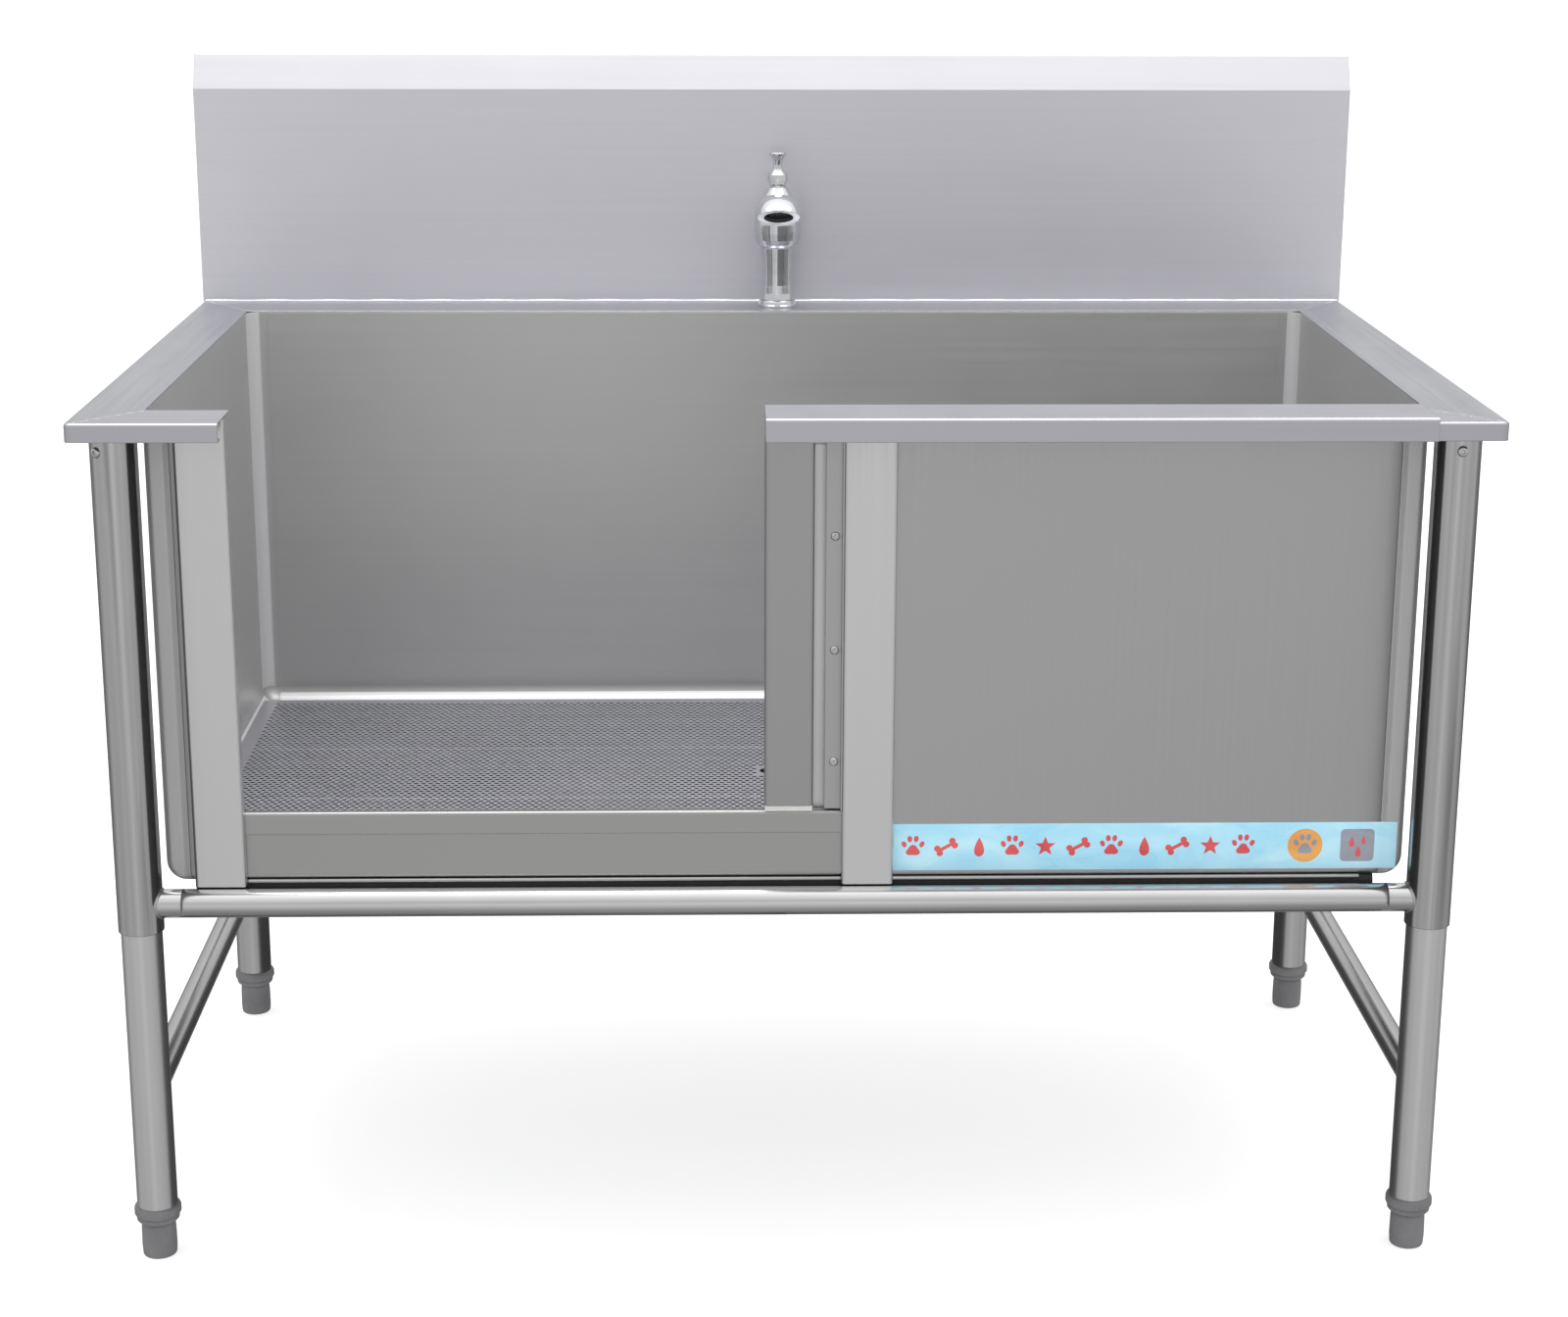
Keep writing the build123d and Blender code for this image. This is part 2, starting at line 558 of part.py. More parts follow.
for side, x in (("left", -LEG_X), ("right", LEG_X)):
    span = LEG_Y["rear"] - LEG_Y["front"]
    with BuildPart() as stretcher:
        with Locations((x, (LEG_Y["front"] + LEG_Y["rear"]) / 2, STRETCHER_Z)):
            Cylinder(STRETCHER_R, span, rotation=(90, 0, 0))
            Cylinder(STRETCHER_R - SHEET, span, rotation=(90, 0, 0), mode=Mode.SUBTRACT)
        for y in LEG_Y.values():
            rod((x, y), LOWER_R, (STRETCHER_Z - 40, STRETCHER_Z + 40), Mode.SUBTRACT)
    save(stretcher.part, f"stretcher_{side}")

# ---- pillar tap ---------------------------------------------------------------------
TAP = (TAP_X, TAP_Y)
SPOUT = (21.5, 13.0)           # the spout is oval: half its width, half its height
SPOUT_BORE = (15.0, 9.0)
SPOUT_TILT = 10.0              # the spout leaves the head rising by this angle
SPOUT_DROP = 48.0              # and its outlet points this far below level
SPOUT_RUN = 28.0
SPOUT_BEND = 26.0
SPOUT_Z = 871.0
CARTRIDGE_R = 17.5
CARTRIDGE_Z = (858.0, HEAD_TOP)


def turned(*profile, mode=Mode.ADD):
    """A solid turned about the tap's axis from (radius, height) points."""
    with BuildSketch(Plane.XZ.offset(-TAP_Y)) as half:
        with BuildLine():
            Polyline(*[(TAP_X + radius, z) for radius, z in profile], close=True)
        make_face()
    revolve(half.sketch, axis=Axis((TAP_X, TAP_Y, 0), (0, 0, 1)), mode=mode)


with BuildPart() as tap_base_ring:
    rod(TAP, 20, (RIM_TOP, RIM_TOP + 7))
    fillet(tap_base_ring.edges().group_by(Axis.Z)[-1], 2.5)
    rod(TAP, SHANK_R + 0.2, (RIM_TOP, RIM_TOP + 8), Mode.SUBTRACT)
save(tap_base_ring.part, "tap_base_ring")

with BuildPart() as tap_column:
    base = RIM_TOP + 7
    turned((0, base), (17.8, base), (16.8, base + 6), (16.2, base + 16), (16.0, base + 28),
           (16.4, base + 42), (17.4, TAP_SPLIT), (13, TAP_SPLIT), (13, TAP_SPLIT + 10),
           (0, TAP_SPLIT + 10))
    rod(TAP, SHANK_R, SHANK_Z)
    rod(TAP, SHANK_R - 0.3, (SHANK_Z[1], base))
    rod(TAP, 6, (SHANK_Z[0], TAP_SPLIT + 10), Mode.SUBTRACT)
save(tap_column.part, "tap_column")

with BuildPart() as tap_locknut:
    rod(TAP, 17, (RIM_UNDER - 3, RIM_UNDER))
    with BuildSketch(Plane.XY.offset(RIM_UNDER - 13)):
        with Locations(TAP):
            RegularPolygon(15.5, 6)
    extrude(amount=10)
    rod(TAP, SHANK_R + 0.1, (RIM_UNDER - 14, RIM_UNDER + 1), Mode.SUBTRACT)
save(tap_locknut.part, "tap_locknut")

run = radians(SPOUT_TILT)
spout_points = [(TAP_Y, SPOUT_Z), (TAP_Y - SPOUT_RUN * cos(run), SPOUT_Z + SPOUT_RUN * sin(run))]
outlet_heading = (-cos(radians(SPOUT_DROP)), -sin(radians(SPOUT_DROP)))
with BuildLine(Plane.YZ.offset(TAP_X)) as spout_path:
    straight = Line(*spout_points)
    JernArc(straight @ 1, straight % 1, SPOUT_BEND, SPOUT_TILT + SPOUT_DROP)
outlet = spout_path.line @ 1
outlet_plane = Plane(origin=outlet, x_dir=(1, 0, 0), z_dir=(0, *outlet_heading))

with BuildPart() as tap_head:
    turned((0, TAP_SPLIT + 0.3), (18.5, TAP_SPLIT + 0.3), (21.6, TAP_SPLIT + 3), (23.4, TAP_SPLIT + 8),
           (24.3, TAP_SPLIT + 15), (24.5, TAP_SPLIT + 24), (23.9, TAP_SPLIT + 33),
           (22.5, TAP_SPLIT + 40), (20.8, HEAD_TOP), (0, HEAD_TOP))
    start = Plane(origin=spout_path.line @ 0, x_dir=(1, 0, 0), z_dir=spout_path.line % 0)
    with BuildSketch(start):
        Ellipse(*SPOUT)
    sweep(path=spout_path.line)
    with BuildSketch(outlet_plane):
        Ellipse(*SPOUT_BORE)
    extrude(amount=-12, mode=Mode.SUBTRACT)
    with BuildSketch(outlet_plane.offset(-12)):
        Circle(7)
    extrude(amount=-30, mode=Mode.SUBTRACT)
    rod(TAP, CARTRIDGE_R + 0.1, (CARTRIDGE_Z[0], 1000), Mode.SUBTRACT)
    rod(TAP, 13.05, (TAP_SPLIT, TAP_SPLIT + 10.3), Mode.SUBTRACT)
    rod(TAP, 5, (TAP_SPLIT, CARTRIDGE_Z[0] + 1), Mode.SUBTRACT)
save(tap_head.part, "tap_head")

with BuildPart() as tap_aerator:
    with BuildSketch(outlet_plane.offset(-9)):
        Ellipse(SPOUT_BORE[0] - 0.1, SPOUT_BORE[1] - 0.1)
    extrude(amount=6)
    with BuildSketch(outlet_plane.offset(-3)):
        Ellipse(SPOUT_BORE[0] - 2, SPOUT_BORE[1] - 2)
    extrude(amount=-2, mode=Mode.SUBTRACT)
    with BuildSketch(outlet_plane.offset(-10)):
        with PolarLocations(4.6, 8):
            Circle(1.1)
        Circle(1.8)
    extrude(amount=8, mode=Mode.SUBTRACT)
save(tap_aerator.part, "tap_aerator")

with BuildPart() as tap_cartridge:
    rod(TAP, CARTRIDGE_R, CARTRIDGE_Z)
    rod(TAP, 4, (CARTRIDGE_Z[0] - 1, CARTRIDGE_Z[0] + 12), Mode.SUBTRACT)
save(tap_cartridge.part, "tap_cartridge")

BONNET_Z = LEVER_PIVOT - 4      # where the bonnet's cone meets the dome


def across_dome(radius, half, mode=Mode.ADD):
    """The lever's pivot pin, or its hole, along X through the dome."""
    with Locations((TAP_X, TAP_Y, LEVER_PIVOT)):
        Cylinder(radius, 2 * half, rotation=(0, 90, 0), mode=mode)


with BuildPart() as tap_bonnet:
    turned((0, HEAD_TOP), (20.8, HEAD_TOP), (18.0, HEAD_TOP + 5), (14.4, HEAD_TOP + 10.5),
           (10.5, BONNET_Z), (0, BONNET_Z))
    with Locations((TAP_X, TAP_Y, LEVER_PIVOT)):
        Sphere(DOME_R)
    rod(TAP, 30, (HEAD_TOP - 10, HEAD_TOP), Mode.SUBTRACT)
    turned((0, HEAD_TOP), (17, HEAD_TOP), (14, HEAD_TOP + 4), (5.5, BONNET_Z - 1),
           (5.5, LEVER_PIVOT + 3), (0, LEVER_PIVOT + 3), mode=Mode.SUBTRACT)
    with BuildSketch(Plane.XY.offset(LEVER_PIVOT)):
        with Locations((TAP_X, TAP_Y - 2)):
            SlotOverall(13, 6.4, rotation=90)
    extrude(amount=20, mode=Mode.SUBTRACT)
    across_dome(PIVOT_R + PIVOT_FIT, PIVOT_HALF + 0.2, Mode.SUBTRACT)
    add(tap_head.part, mode=Mode.SUBTRACT)
# The spout cuts a sliver off the front of the cone, which is left out.
save(tap_bonnet.solids().sort_by(SortBy.VOLUME)[-1], "tap_bonnet")

CUP_Z = LEVER_PIVOT + 2         # lower edge of the lever's cup
with BuildPart() as tap_lever:
    turned((0, CUP_Z), (10.5, CUP_Z), (10.5, CUP_Z + 4), (10.0, CUP_Z + 7.5), (7.0, CUP_Z + 10.5),
           (5.4, CUP_Z + 13), (4.8, CUP_Z + 17), (5.2, LEVER_TOP - 8), (6.4, LEVER_TOP - 5),
           (8.4, LEVER_TOP - 3.2), (8.6, LEVER_TOP - 1.4), (7.8, LEVER_TOP),
           (0, LEVER_TOP))
    with Locations((TAP_X, TAP_Y, LEVER_PIVOT)):
        Sphere(DOME_R + CUP_GAP, mode=Mode.SUBTRACT)
    rod(TAP, SPINDLE_R, (BONNET_Z - 6, CUP_Z + 10))
    across_dome(PIVOT_R, PIVOT_HALF)
save(tap_lever.part, "tap_lever")
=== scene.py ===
import json
from math import atan2, cos, floor, inf, pi, radians, sin, sqrt

import bpy
from mathutils import Matrix, Vector


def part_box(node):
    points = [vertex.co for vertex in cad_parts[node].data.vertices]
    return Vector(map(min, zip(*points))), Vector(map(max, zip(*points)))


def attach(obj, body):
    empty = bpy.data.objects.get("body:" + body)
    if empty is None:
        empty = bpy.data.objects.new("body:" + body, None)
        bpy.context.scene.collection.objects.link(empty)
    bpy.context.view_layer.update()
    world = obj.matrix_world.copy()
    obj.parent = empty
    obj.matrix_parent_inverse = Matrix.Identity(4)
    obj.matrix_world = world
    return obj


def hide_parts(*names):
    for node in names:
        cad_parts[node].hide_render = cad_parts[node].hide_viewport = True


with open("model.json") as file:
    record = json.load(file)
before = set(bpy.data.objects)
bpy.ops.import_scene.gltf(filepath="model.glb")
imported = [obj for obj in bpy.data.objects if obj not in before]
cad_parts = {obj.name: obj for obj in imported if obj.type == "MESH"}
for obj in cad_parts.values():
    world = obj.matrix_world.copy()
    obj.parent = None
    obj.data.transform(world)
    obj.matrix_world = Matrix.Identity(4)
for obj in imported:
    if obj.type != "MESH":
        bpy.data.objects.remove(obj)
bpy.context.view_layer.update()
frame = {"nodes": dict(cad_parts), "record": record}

# A step-in pet bath in folded stainless steel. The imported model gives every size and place.
# This script adds the finishes, the perforated floor, the welds, the tap, the feet, the
# printed strip, the camera and the light. Lengths are in metres.

MM = 0.001
SHEET = 1.5 * MM


# ---- meshes ----
class Mesh:
    """Points and faces that grow piece by piece."""

    def __init__(self):
        self.points = []
        self.faces = []

    def point(self, p):
        """A new point's number."""
        self.points.append(tuple(p))
        return len(self.points) - 1


def piece(name, mesh, body, slot, material=None, sharp=35, replaces=()):
    """A new object from a Mesh, which rides on a body and takes its finish from a slot."""
    data = bpy.data.meshes.new(name)
    data.from_pydata(mesh.points, [], mesh.faces)
    data.update()
    data.polygons.foreach_set("use_smooth", [True] * len(data.polygons))
    data.set_sharp_from_angle(angle=radians(sharp))
    obj = bpy.data.objects.new(name, data)
    bpy.context.scene.collection.objects.link(obj)
    data.materials.append(material or FINISHES[slot])
    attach(obj, body)
    if replaces:
        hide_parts(*replaces)


def centre_of(node):
    """The middle of a node's box."""
    low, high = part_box(node)
    return (low + high) / 2


def rounded(points, radius, steps=4):
    """The open line through 2-D points, each inner corner turned into an arc."""
    line = [points[0]]
    for before, corner, after in zip(points, points[1:], points[2:]):
        c = Vector(corner)
        a, b = Vector(before) - c, Vector(after) - c
        turn = a.angle(b)
        if turn > pi - 0.02:
            line.append(corner)
            continue
        reach = min(radius / abs(sin(turn / 2) / cos(turn / 2)), 0.45 * a.length, 0.45 * b.length)
        start, end = c + a.normalized() * reach, c + b.normalized() * reach
        for i in range(steps + 1):
            t = i / steps
            line.append(tuple((1 - t) ** 2 * start + 2 * t * (1 - t) * c + t * t * end))
    return [*line, points[-1]]


def lathe(mesh, profile, place, segments=48, shape=None, ring=False):
    """A solid turned from (radius, height) points, which start and end on the axis unless
    it is a ring. shape(angle, radius) gives the radius at an angle."""
    rings = []
    for radius, height in profile:
        if radius < 1e-7:
            rings.append([mesh.point(place @ Vector((0, 0, height)))])
            continue
        loop = []
        for i in range(segments):
            a = 2 * pi * i / segments
            r = shape(a, radius) if shape else radius
            loop.append(mesh.point(place @ Vector((r * cos(a), r * sin(a), height))))
        rings.append(loop)
    if ring:
        rings.append(rings[0])
    for low, high in zip(rings, rings[1:]):
        for i in range(segments):
            j = (i + 1) % segments
            if len(low) == 1:
                mesh.faces.append((low[0], high[j], high[i]))
            elif len(high) == 1:
                mesh.faces.append((low[i], low[j], high[0]))
            else:
                mesh.faces.append((low[i], low[j], high[j], high[i]))


def tube(mesh, path, radii, sides=10, closed=False):
    """A tube round a line of points, with its own radius at each point and closed ends."""
    count = len(path)
    rings = []
    normal = None
    for i, point in enumerate(path):
        if closed:
            along = (path[(i + 1) % count] - path[i - 1]).normalized()
        else:
            along = (path[min(i + 1, count - 1)] - path[max(i - 1, 0)]).normalized()
        if normal is None:
            normal = along.orthogonal().normalized()
        normal = (normal - along * normal.dot(along)).normalized()
        binormal = along.cross(normal)
        ring = []
        for k in range(sides):
            a = 2 * pi * k / sides
            ring.append(mesh.point(point + radii[i] * (cos(a) * normal + sin(a) * binormal)))
        rings.append(ring)
    last = count if closed else count - 1
    for i in range(last):
        low, high = rings[i], rings[(i + 1) % count]
        shift = 0
        if closed and i == count - 1:
            first = Vector(mesh.points[low[0]])
            shift = min(range(sides), key=lambda k: (Vector(mesh.points[high[k]]) - first).length)
        for k in range(sides):
            n = (k + 1) % sides
            mesh.faces.append((low[k], low[n], high[(n + shift) % sides], high[(k + shift) % sides]))
    if not closed:
        mesh.faces.append(tuple(reversed(rings[0])))
        mesh.faces.append(tuple(rings[-1]))


def prism(mesh, outline, place, depth):
    """A plate from a 2-D outline, counter-clockwise, drawn out by depth along its own +Z."""
    near, far = ([mesh.point(place @ Vector((x, y, z))) for x, y in outline] for z in (0, depth))
    mesh.faces += [tuple(reversed(near)), tuple(far)]
    for k in range(len(outline)):
        n = (k + 1) % len(outline)
        mesh.faces.append((near[k], near[n], far[n], far[k]))


def at(origin, x_axis, y_axis):
    """The matrix that takes local x and y to these directions, from this origin."""
    x, y = Vector(x_axis).normalized(), Vector(y_axis).normalized()
    return Matrix.Translation(origin) @ Matrix((x, y, x.cross(y))).transposed().to_4x4()


# ---- finishes ----
def set_inputs(node, **values):
    """Values for a node's own inputs, whose names have _ for each space here."""
    for key, value in values.items():
        node.inputs[key.replace("_", " ")].default_value = value


def math_node(tree, operation, *values):
    """One calculation on numbers and outputs, in any node tree."""
    made = tree.nodes.new("ShaderNodeMath")
    made.operation = operation
    for socket, value in zip(made.inputs, values):
        if isinstance(value, (int, float)):
            socket.default_value = value
        else:
            tree.links.new(value, socket)
    return made.outputs["Value"]


def ramp_node(tree, value, stops):
    """Colours along a value, as (position, colour) pairs."""
    made = tree.nodes.new("ShaderNodeValToRGB")
    elements = made.color_ramp.elements
    while len(elements) < len(stops):
        elements.new(0.5)
    for element, (position, colour) in zip(elements, stops):
        element.position = position
        element.color = (*colour, 1)
    tree.links.new(value, made.inputs["Fac"])
    return made.outputs["Color"]


class Shader:
    """A material's node tree, with short calls for the nodes that the finishes share."""

    def __init__(self, name):
        self.material = bpy.data.materials.new(name)
        self.material.use_nodes = True
        self.tree = self.material.node_tree
        self.surface = self.tree.nodes["Principled BSDF"]
        self.place = self.node("ShaderNodeTexCoord").outputs["Object"]

    def node(self, kind, **settings):
        made = self.tree.nodes.new(kind)
        for key, value in settings.items():
            setattr(made, key, value)
        return made

    def join(self, source, target):
        self.tree.links.new(source, target)

    def noise(self, scale, detail=3.0, roughness=0.55, stretch=None, distortion=0.0):
        made = self.node("ShaderNodeTexNoise")
        set_inputs(made, Scale=scale, Detail=detail, Roughness=roughness, Distortion=distortion)
        place = self.place
        if stretch:
            mapping = self.node("ShaderNodeMapping")
            set_inputs(mapping, Scale=stretch)
            self.join(place, mapping.inputs["Vector"])
            place = mapping.outputs["Vector"]
        self.join(place, made.inputs["Vector"])
        return made.outputs["Fac"]

    def math(self, operation, a, b):
        return math_node(self.tree, operation, a, b)

    def remap(self, value, low, high, to_low, to_high):
        made = self.node("ShaderNodeMapRange")
        set_inputs(made, From_Min=low, From_Max=high, To_Min=to_low, To_Max=to_high)
        self.join(value, made.inputs["Value"])
        return made.outputs["Result"]

    def ramp(self, value, *stops):
        return ramp_node(self.tree, value, stops)

    def mix(self, share, a, b):
        made = self.node("ShaderNodeMix", data_type="RGBA")
        for socket, value in ((made.inputs[0], share), (made.inputs[6], a), (made.inputs[7], b)):
            if isinstance(value, tuple):
                socket.default_value = (*value, 1)
            elif isinstance(value, float):
                socket.default_value = value
            else:
                self.join(value, socket)
        return made.outputs[2]

    def soft_edge(self, radius):
        """The surface's normal with its edges rounded, and how near an edge each point is."""
        bevel = self.node("ShaderNodeBevel", samples=6)
        set_inputs(bevel, Radius=radius)
        true = self.node("ShaderNodeNewGeometry")
        dot = self.node("ShaderNodeVectorMath", operation="DOT_PRODUCT")
        self.join(bevel.outputs["Normal"], dot.inputs[0])
        self.join(true.outputs["Normal"], dot.inputs[1])
        return bevel.outputs["Normal"], self.remap(dot.outputs["Value"], 0.995, 0.85, 0.0, 1.0)

    def bump(self, height, distance, strength=1.0, normal=None):
        made = self.node("ShaderNodeBump")
        set_inputs(made, Strength=strength, Distance=distance)
        self.join(height, made.inputs["Height"])
        if normal is not None:
            self.join(normal, made.inputs["Normal"])
        return made.outputs["Normal"]

    def finish(self, colour, roughness, normal):
        for socket, value in (("Base Color", colour), ("Roughness", roughness), ("Normal", normal)):
            self.join(value, self.surface.inputs[socket])
        return self.material


def grey(level):
    """A neutral colour."""
    return (level, level, level)


def scaled(colour, k):
    """A colour made k times as bright, up to white."""
    return tuple(min(1.0, c * k) for c in colour)


GRAIN_ALONG, GRAIN_ACROSS = 2.5, 260.0
BAND_ALONG, BAND_ACROSS = 1.6, 75.0


def stretch(axis, along, across):
    """How much finer a pattern is across a piece than along its axis."""
    return tuple(along if name == axis else across for name in "xyz")


def steel(name, colour, roughness, axis, grain=0.02, wave=0.35, spread=0.07, contrast=0.07, reflection_streak=0.0,
          metallic=1.0, painted_side_shade=False):
    """Satin stainless: grain along one axis, faint handling marks, slightly wavy sheet and
    brighter rubbed edges. grain and wave are heights in millimetres. reflection_streak paints
    dark bands along the piece into its colour, painted reflections like those on polished tube,
    and bends the surface in the same bands. painted_side_shade paints shade on what doesn't face up."""
    s = Shader(name)
    set_inputs(s.surface, Metallic=metallic)
    lines = s.noise(1.0, 5.0, 0.62, stretch(axis, GRAIN_ALONG, GRAIN_ACROSS))
    marks = s.noise(9.0, 4.0, 0.6, distortion=0.6)
    swell = s.noise(3.4, 1.0, 0.4)
    tone = s.math("ADD", s.math("MULTIPLY", lines, 0.7), s.math("MULTIPLY", marks, 0.3))
    base = s.ramp(tone, (0.3, scaled(colour, 1 - contrast)), (0.7, scaled(colour, 1 + contrast)))
    normal, edge = s.soft_edge(1.1 * MM)
    # Painted reflection: dark bands in the colour stand for what a polished tube reflects; the bump in the
    # same bands is real ripple.
    if reflection_streak:
        bands = s.noise(1.0, 2.0, 0.5, stretch(axis, BAND_ALONG, BAND_ACROSS), 0.35)
        base = s.mix(s.remap(bands, 0.36, 0.5, reflection_streak, 0.0), base, scaled(colour, 0.35))
        normal = s.bump(bands, 0.5 * MM, 0.5, normal)
    # Painted shade: faces that don't face up, such as the holes' cut walls and the skirts under the sheet,
    # are darkened.
    if painted_side_shade:
        facing = s.node("ShaderNodeSeparateXYZ")
        s.join(s.node("ShaderNodeNewGeometry").outputs["Normal"], facing.inputs[0])
        base = s.mix(s.remap(facing.outputs["Z"], 0.3, 0.7, 1.0, 0.0), base, scaled(colour, 0.22))
    worn = s.mix(s.math("MULTIPLY", edge, 0.1 if painted_side_shade else 0.45), base, scaled(colour, 1.22))
    rough = s.remap(tone, 0.3, 0.7, roughness - spread, roughness + spread)
    rough = s.math("SUBTRACT", rough, s.math("MULTIPLY", edge, 0.1))
    normal = s.bump(swell, wave * MM, 0.6, normal)
    normal = s.bump(lines, grain * MM, 0.8, normal)
    return s.finish(worn, rough, normal)


def chrome(name):
    """Polished plating with wiped patches and fine water spots."""
    s = Shader(name)
    set_inputs(s.surface, Metallic=1.0)
    wiped = s.noise(60.0, 4.0, 0.6, distortion=1.2)
    spots = s.noise(420.0, 2.0)
    base = s.ramp(wiped, (0.3, (0.70, 0.71, 0.72)), (0.7, (0.80, 0.81, 0.82)))
    rough = s.remap(s.math("MULTIPLY", wiped, spots), 0.12, 0.4, 0.035, 0.11)
    normal, _ = s.soft_edge(0.5 * MM)
    return s.finish(base, rough, s.bump(wiped, 0.02 * MM, 0.3, normal))


def brass(name):
    """Bare turned brass, ringed round its axis."""
    s = Shader(name)
    set_inputs(s.surface, Metallic=1.0)
    turned = s.noise(1.0, 3.0, 0.5, (60.0, 60.0, 2600.0))
    base = s.ramp(turned, (0.3, (0.52, 0.37, 0.15)), (0.7, (0.74, 0.57, 0.29)))
    return s.finish(base, s.remap(turned, 0.3, 0.7, 0.22, 0.4), s.bump(turned, 0.02 * MM))


def moulded(name, dark, light, roughness):
    """Moulded plastic or rubber: fine skin, slightly uneven shine, scuffed edges."""
    s = Shader(name)
    skin = s.noise(900.0, 3.0, 0.6)
    patches = s.noise(40.0, 4.0, 0.6, distortion=0.5)
    tone = s.math("ADD", s.math("MULTIPLY", skin, 0.45), s.math("MULTIPLY", patches, 0.55))
    base = s.ramp(tone, (0.32, dark), (0.68, light))
    normal, edge = s.soft_edge(0.8 * MM)
    worn = s.mix(s.math("MULTIPLY", edge, 0.3), base, scaled(light, 1.35))
    rough = s.remap(tone, 0.3, 0.7, roughness - 0.08, roughness + 0.08)
    return s.finish(worn, rough, s.bump(skin, 0.03 * MM, 0.8, normal))


def film(name, deep, pale):
    """Printed film under a clear layer: soft cloudy print with a fine dot screen."""
    s = Shader(name)
    set_inputs(s.surface, Coat_Weight=0.5, Coat_Roughness=0.12)
    cloud = s.noise(14.0, 3.0, 0.5, (1.0, 1.0, 2.2), distortion=0.8)
    screen = s.noise(1500.0, 1.0)
    tone = s.math("ADD", s.math("MULTIPLY", cloud, 0.85), s.math("MULTIPLY", screen, 0.15))
    base = s.ramp(tone, (0.35, deep), (0.65, pale))
    return s.finish(base, s.remap(cloud, 0.3, 0.7, 0.26, 0.38), s.bump(cloud, 0.15 * MM, 0.4))


def weld(name, colour, roughness):
    """Bright weld metal with a hint of heat colour, rippled by its own shape."""
    s = Shader(name)
    set_inputs(s.surface, Metallic=1.0)
    skin = s.noise(700.0, 4.0, 0.65)
    heat = s.noise(55.0, 2.0)
    straw = (colour[0], colour[1] * 0.95, colour[2] * 0.84)
    base = s.ramp(heat, (0.35, scaled(colour, 0.86)), (0.5, colour), (0.72, straw))
    rough = s.remap(skin, 0.3, 0.7, roughness - 0.08, roughness + 0.08)
    return s.finish(base, rough, s.bump(skin, 0.05 * MM, 0.7))


# The usual finish of each slot in the record
FINISHES = {
    "sheet_steel": steel("sheet_steel", (0.52, 0.52, 0.515), 0.36, "z", grain=0.01, contrast=0.035),
    "rim_steel": steel("rim_steel", (0.58, 0.58, 0.62), 0.34, "x", grain=0.012, contrast=0.04),
    "splash_steel": steel(
        "splash_steel", (0.65, 0.645, 0.685), 0.42, "x", grain=0.01, contrast=0.03, metallic=0.5,
    ),
    "perforated_steel": steel(
        "perforated_steel", (0.74, 0.74, 0.795), 0.38, "x", wave=0.6, contrast=0.05, painted_side_shade=True,
    ),
    "tube_steel": steel("tube_steel", grey(0.57), 0.18, "z", grain=0.04, spread=0.05, reflection_streak=0.6),
    "tube_satin": steel("tube_satin", grey(0.75), 0.34, "z", grain=0.015, contrast=0.04),
    "foot_grey": moulded("foot_grey", (0.14, 0.14, 0.145), (0.20, 0.20, 0.205), 0.46),
    "screw_steel": steel("screw_steel", grey(0.66), 0.16, "z", grain=0.004, wave=0.0),
    "nylon_white": moulded("nylon_white", (0.62, 0.61, 0.58), (0.76, 0.75, 0.72), 0.45),
    "seal_rubber": moulded("seal_rubber", grey(0.018), grey(0.04), 0.62),
    "drain_steel": steel("drain_steel", grey(0.60), 0.24, "z", grain=0.006, wave=0.0),
    "nylon_black": moulded("nylon_black", grey(0.02), grey(0.05), 0.5),
    "tap_chrome": chrome("tap_chrome"),
    "tap_brass": brass("tap_brass"),
    "strip_blue": film("strip_blue", (0.33, 0.70, 0.90), (0.52, 0.84, 0.96)),
}
WELD = weld("weld_metal", (0.66, 0.65, 0.63), 0.34)
GROUND_WELD = steel("ground_weld", (0.74, 0.74, 0.76), 0.26, "z", grain=0.012, wave=0.1)
SILL = steel("sill_steel", (0.475, 0.475, 0.465), 0.34, "x", grain=0.01, contrast=0.03)
# Brighter steel for the thin strips in the bowl's bends: painted highlights where the bends catch the
# ceiling's light.
HIGHLIGHT_STRIP = dict(grain=0.01, wave=0.2, contrast=0.03, metallic=0.45)
UPRIGHT_HIGHLIGHT = steel("bright_steel", grey(0.74), 0.55, "z", **HIGHLIGHT_STRIP)
LEVEL_HIGHLIGHT = steel("bright_steel_x", grey(0.98), 0.5, "x", **HIGHLIGHT_STRIP)
RED_INK = film("red_ink", (0.62, 0.05, 0.06), (0.78, 0.10, 0.10))
ORANGE_INK = film("orange_ink", (0.72, 0.30, 0.06), (0.86, 0.42, 0.10))
GREY_INK = film("grey_ink", (0.22, 0.24, 0.30), (0.34, 0.36, 0.42))
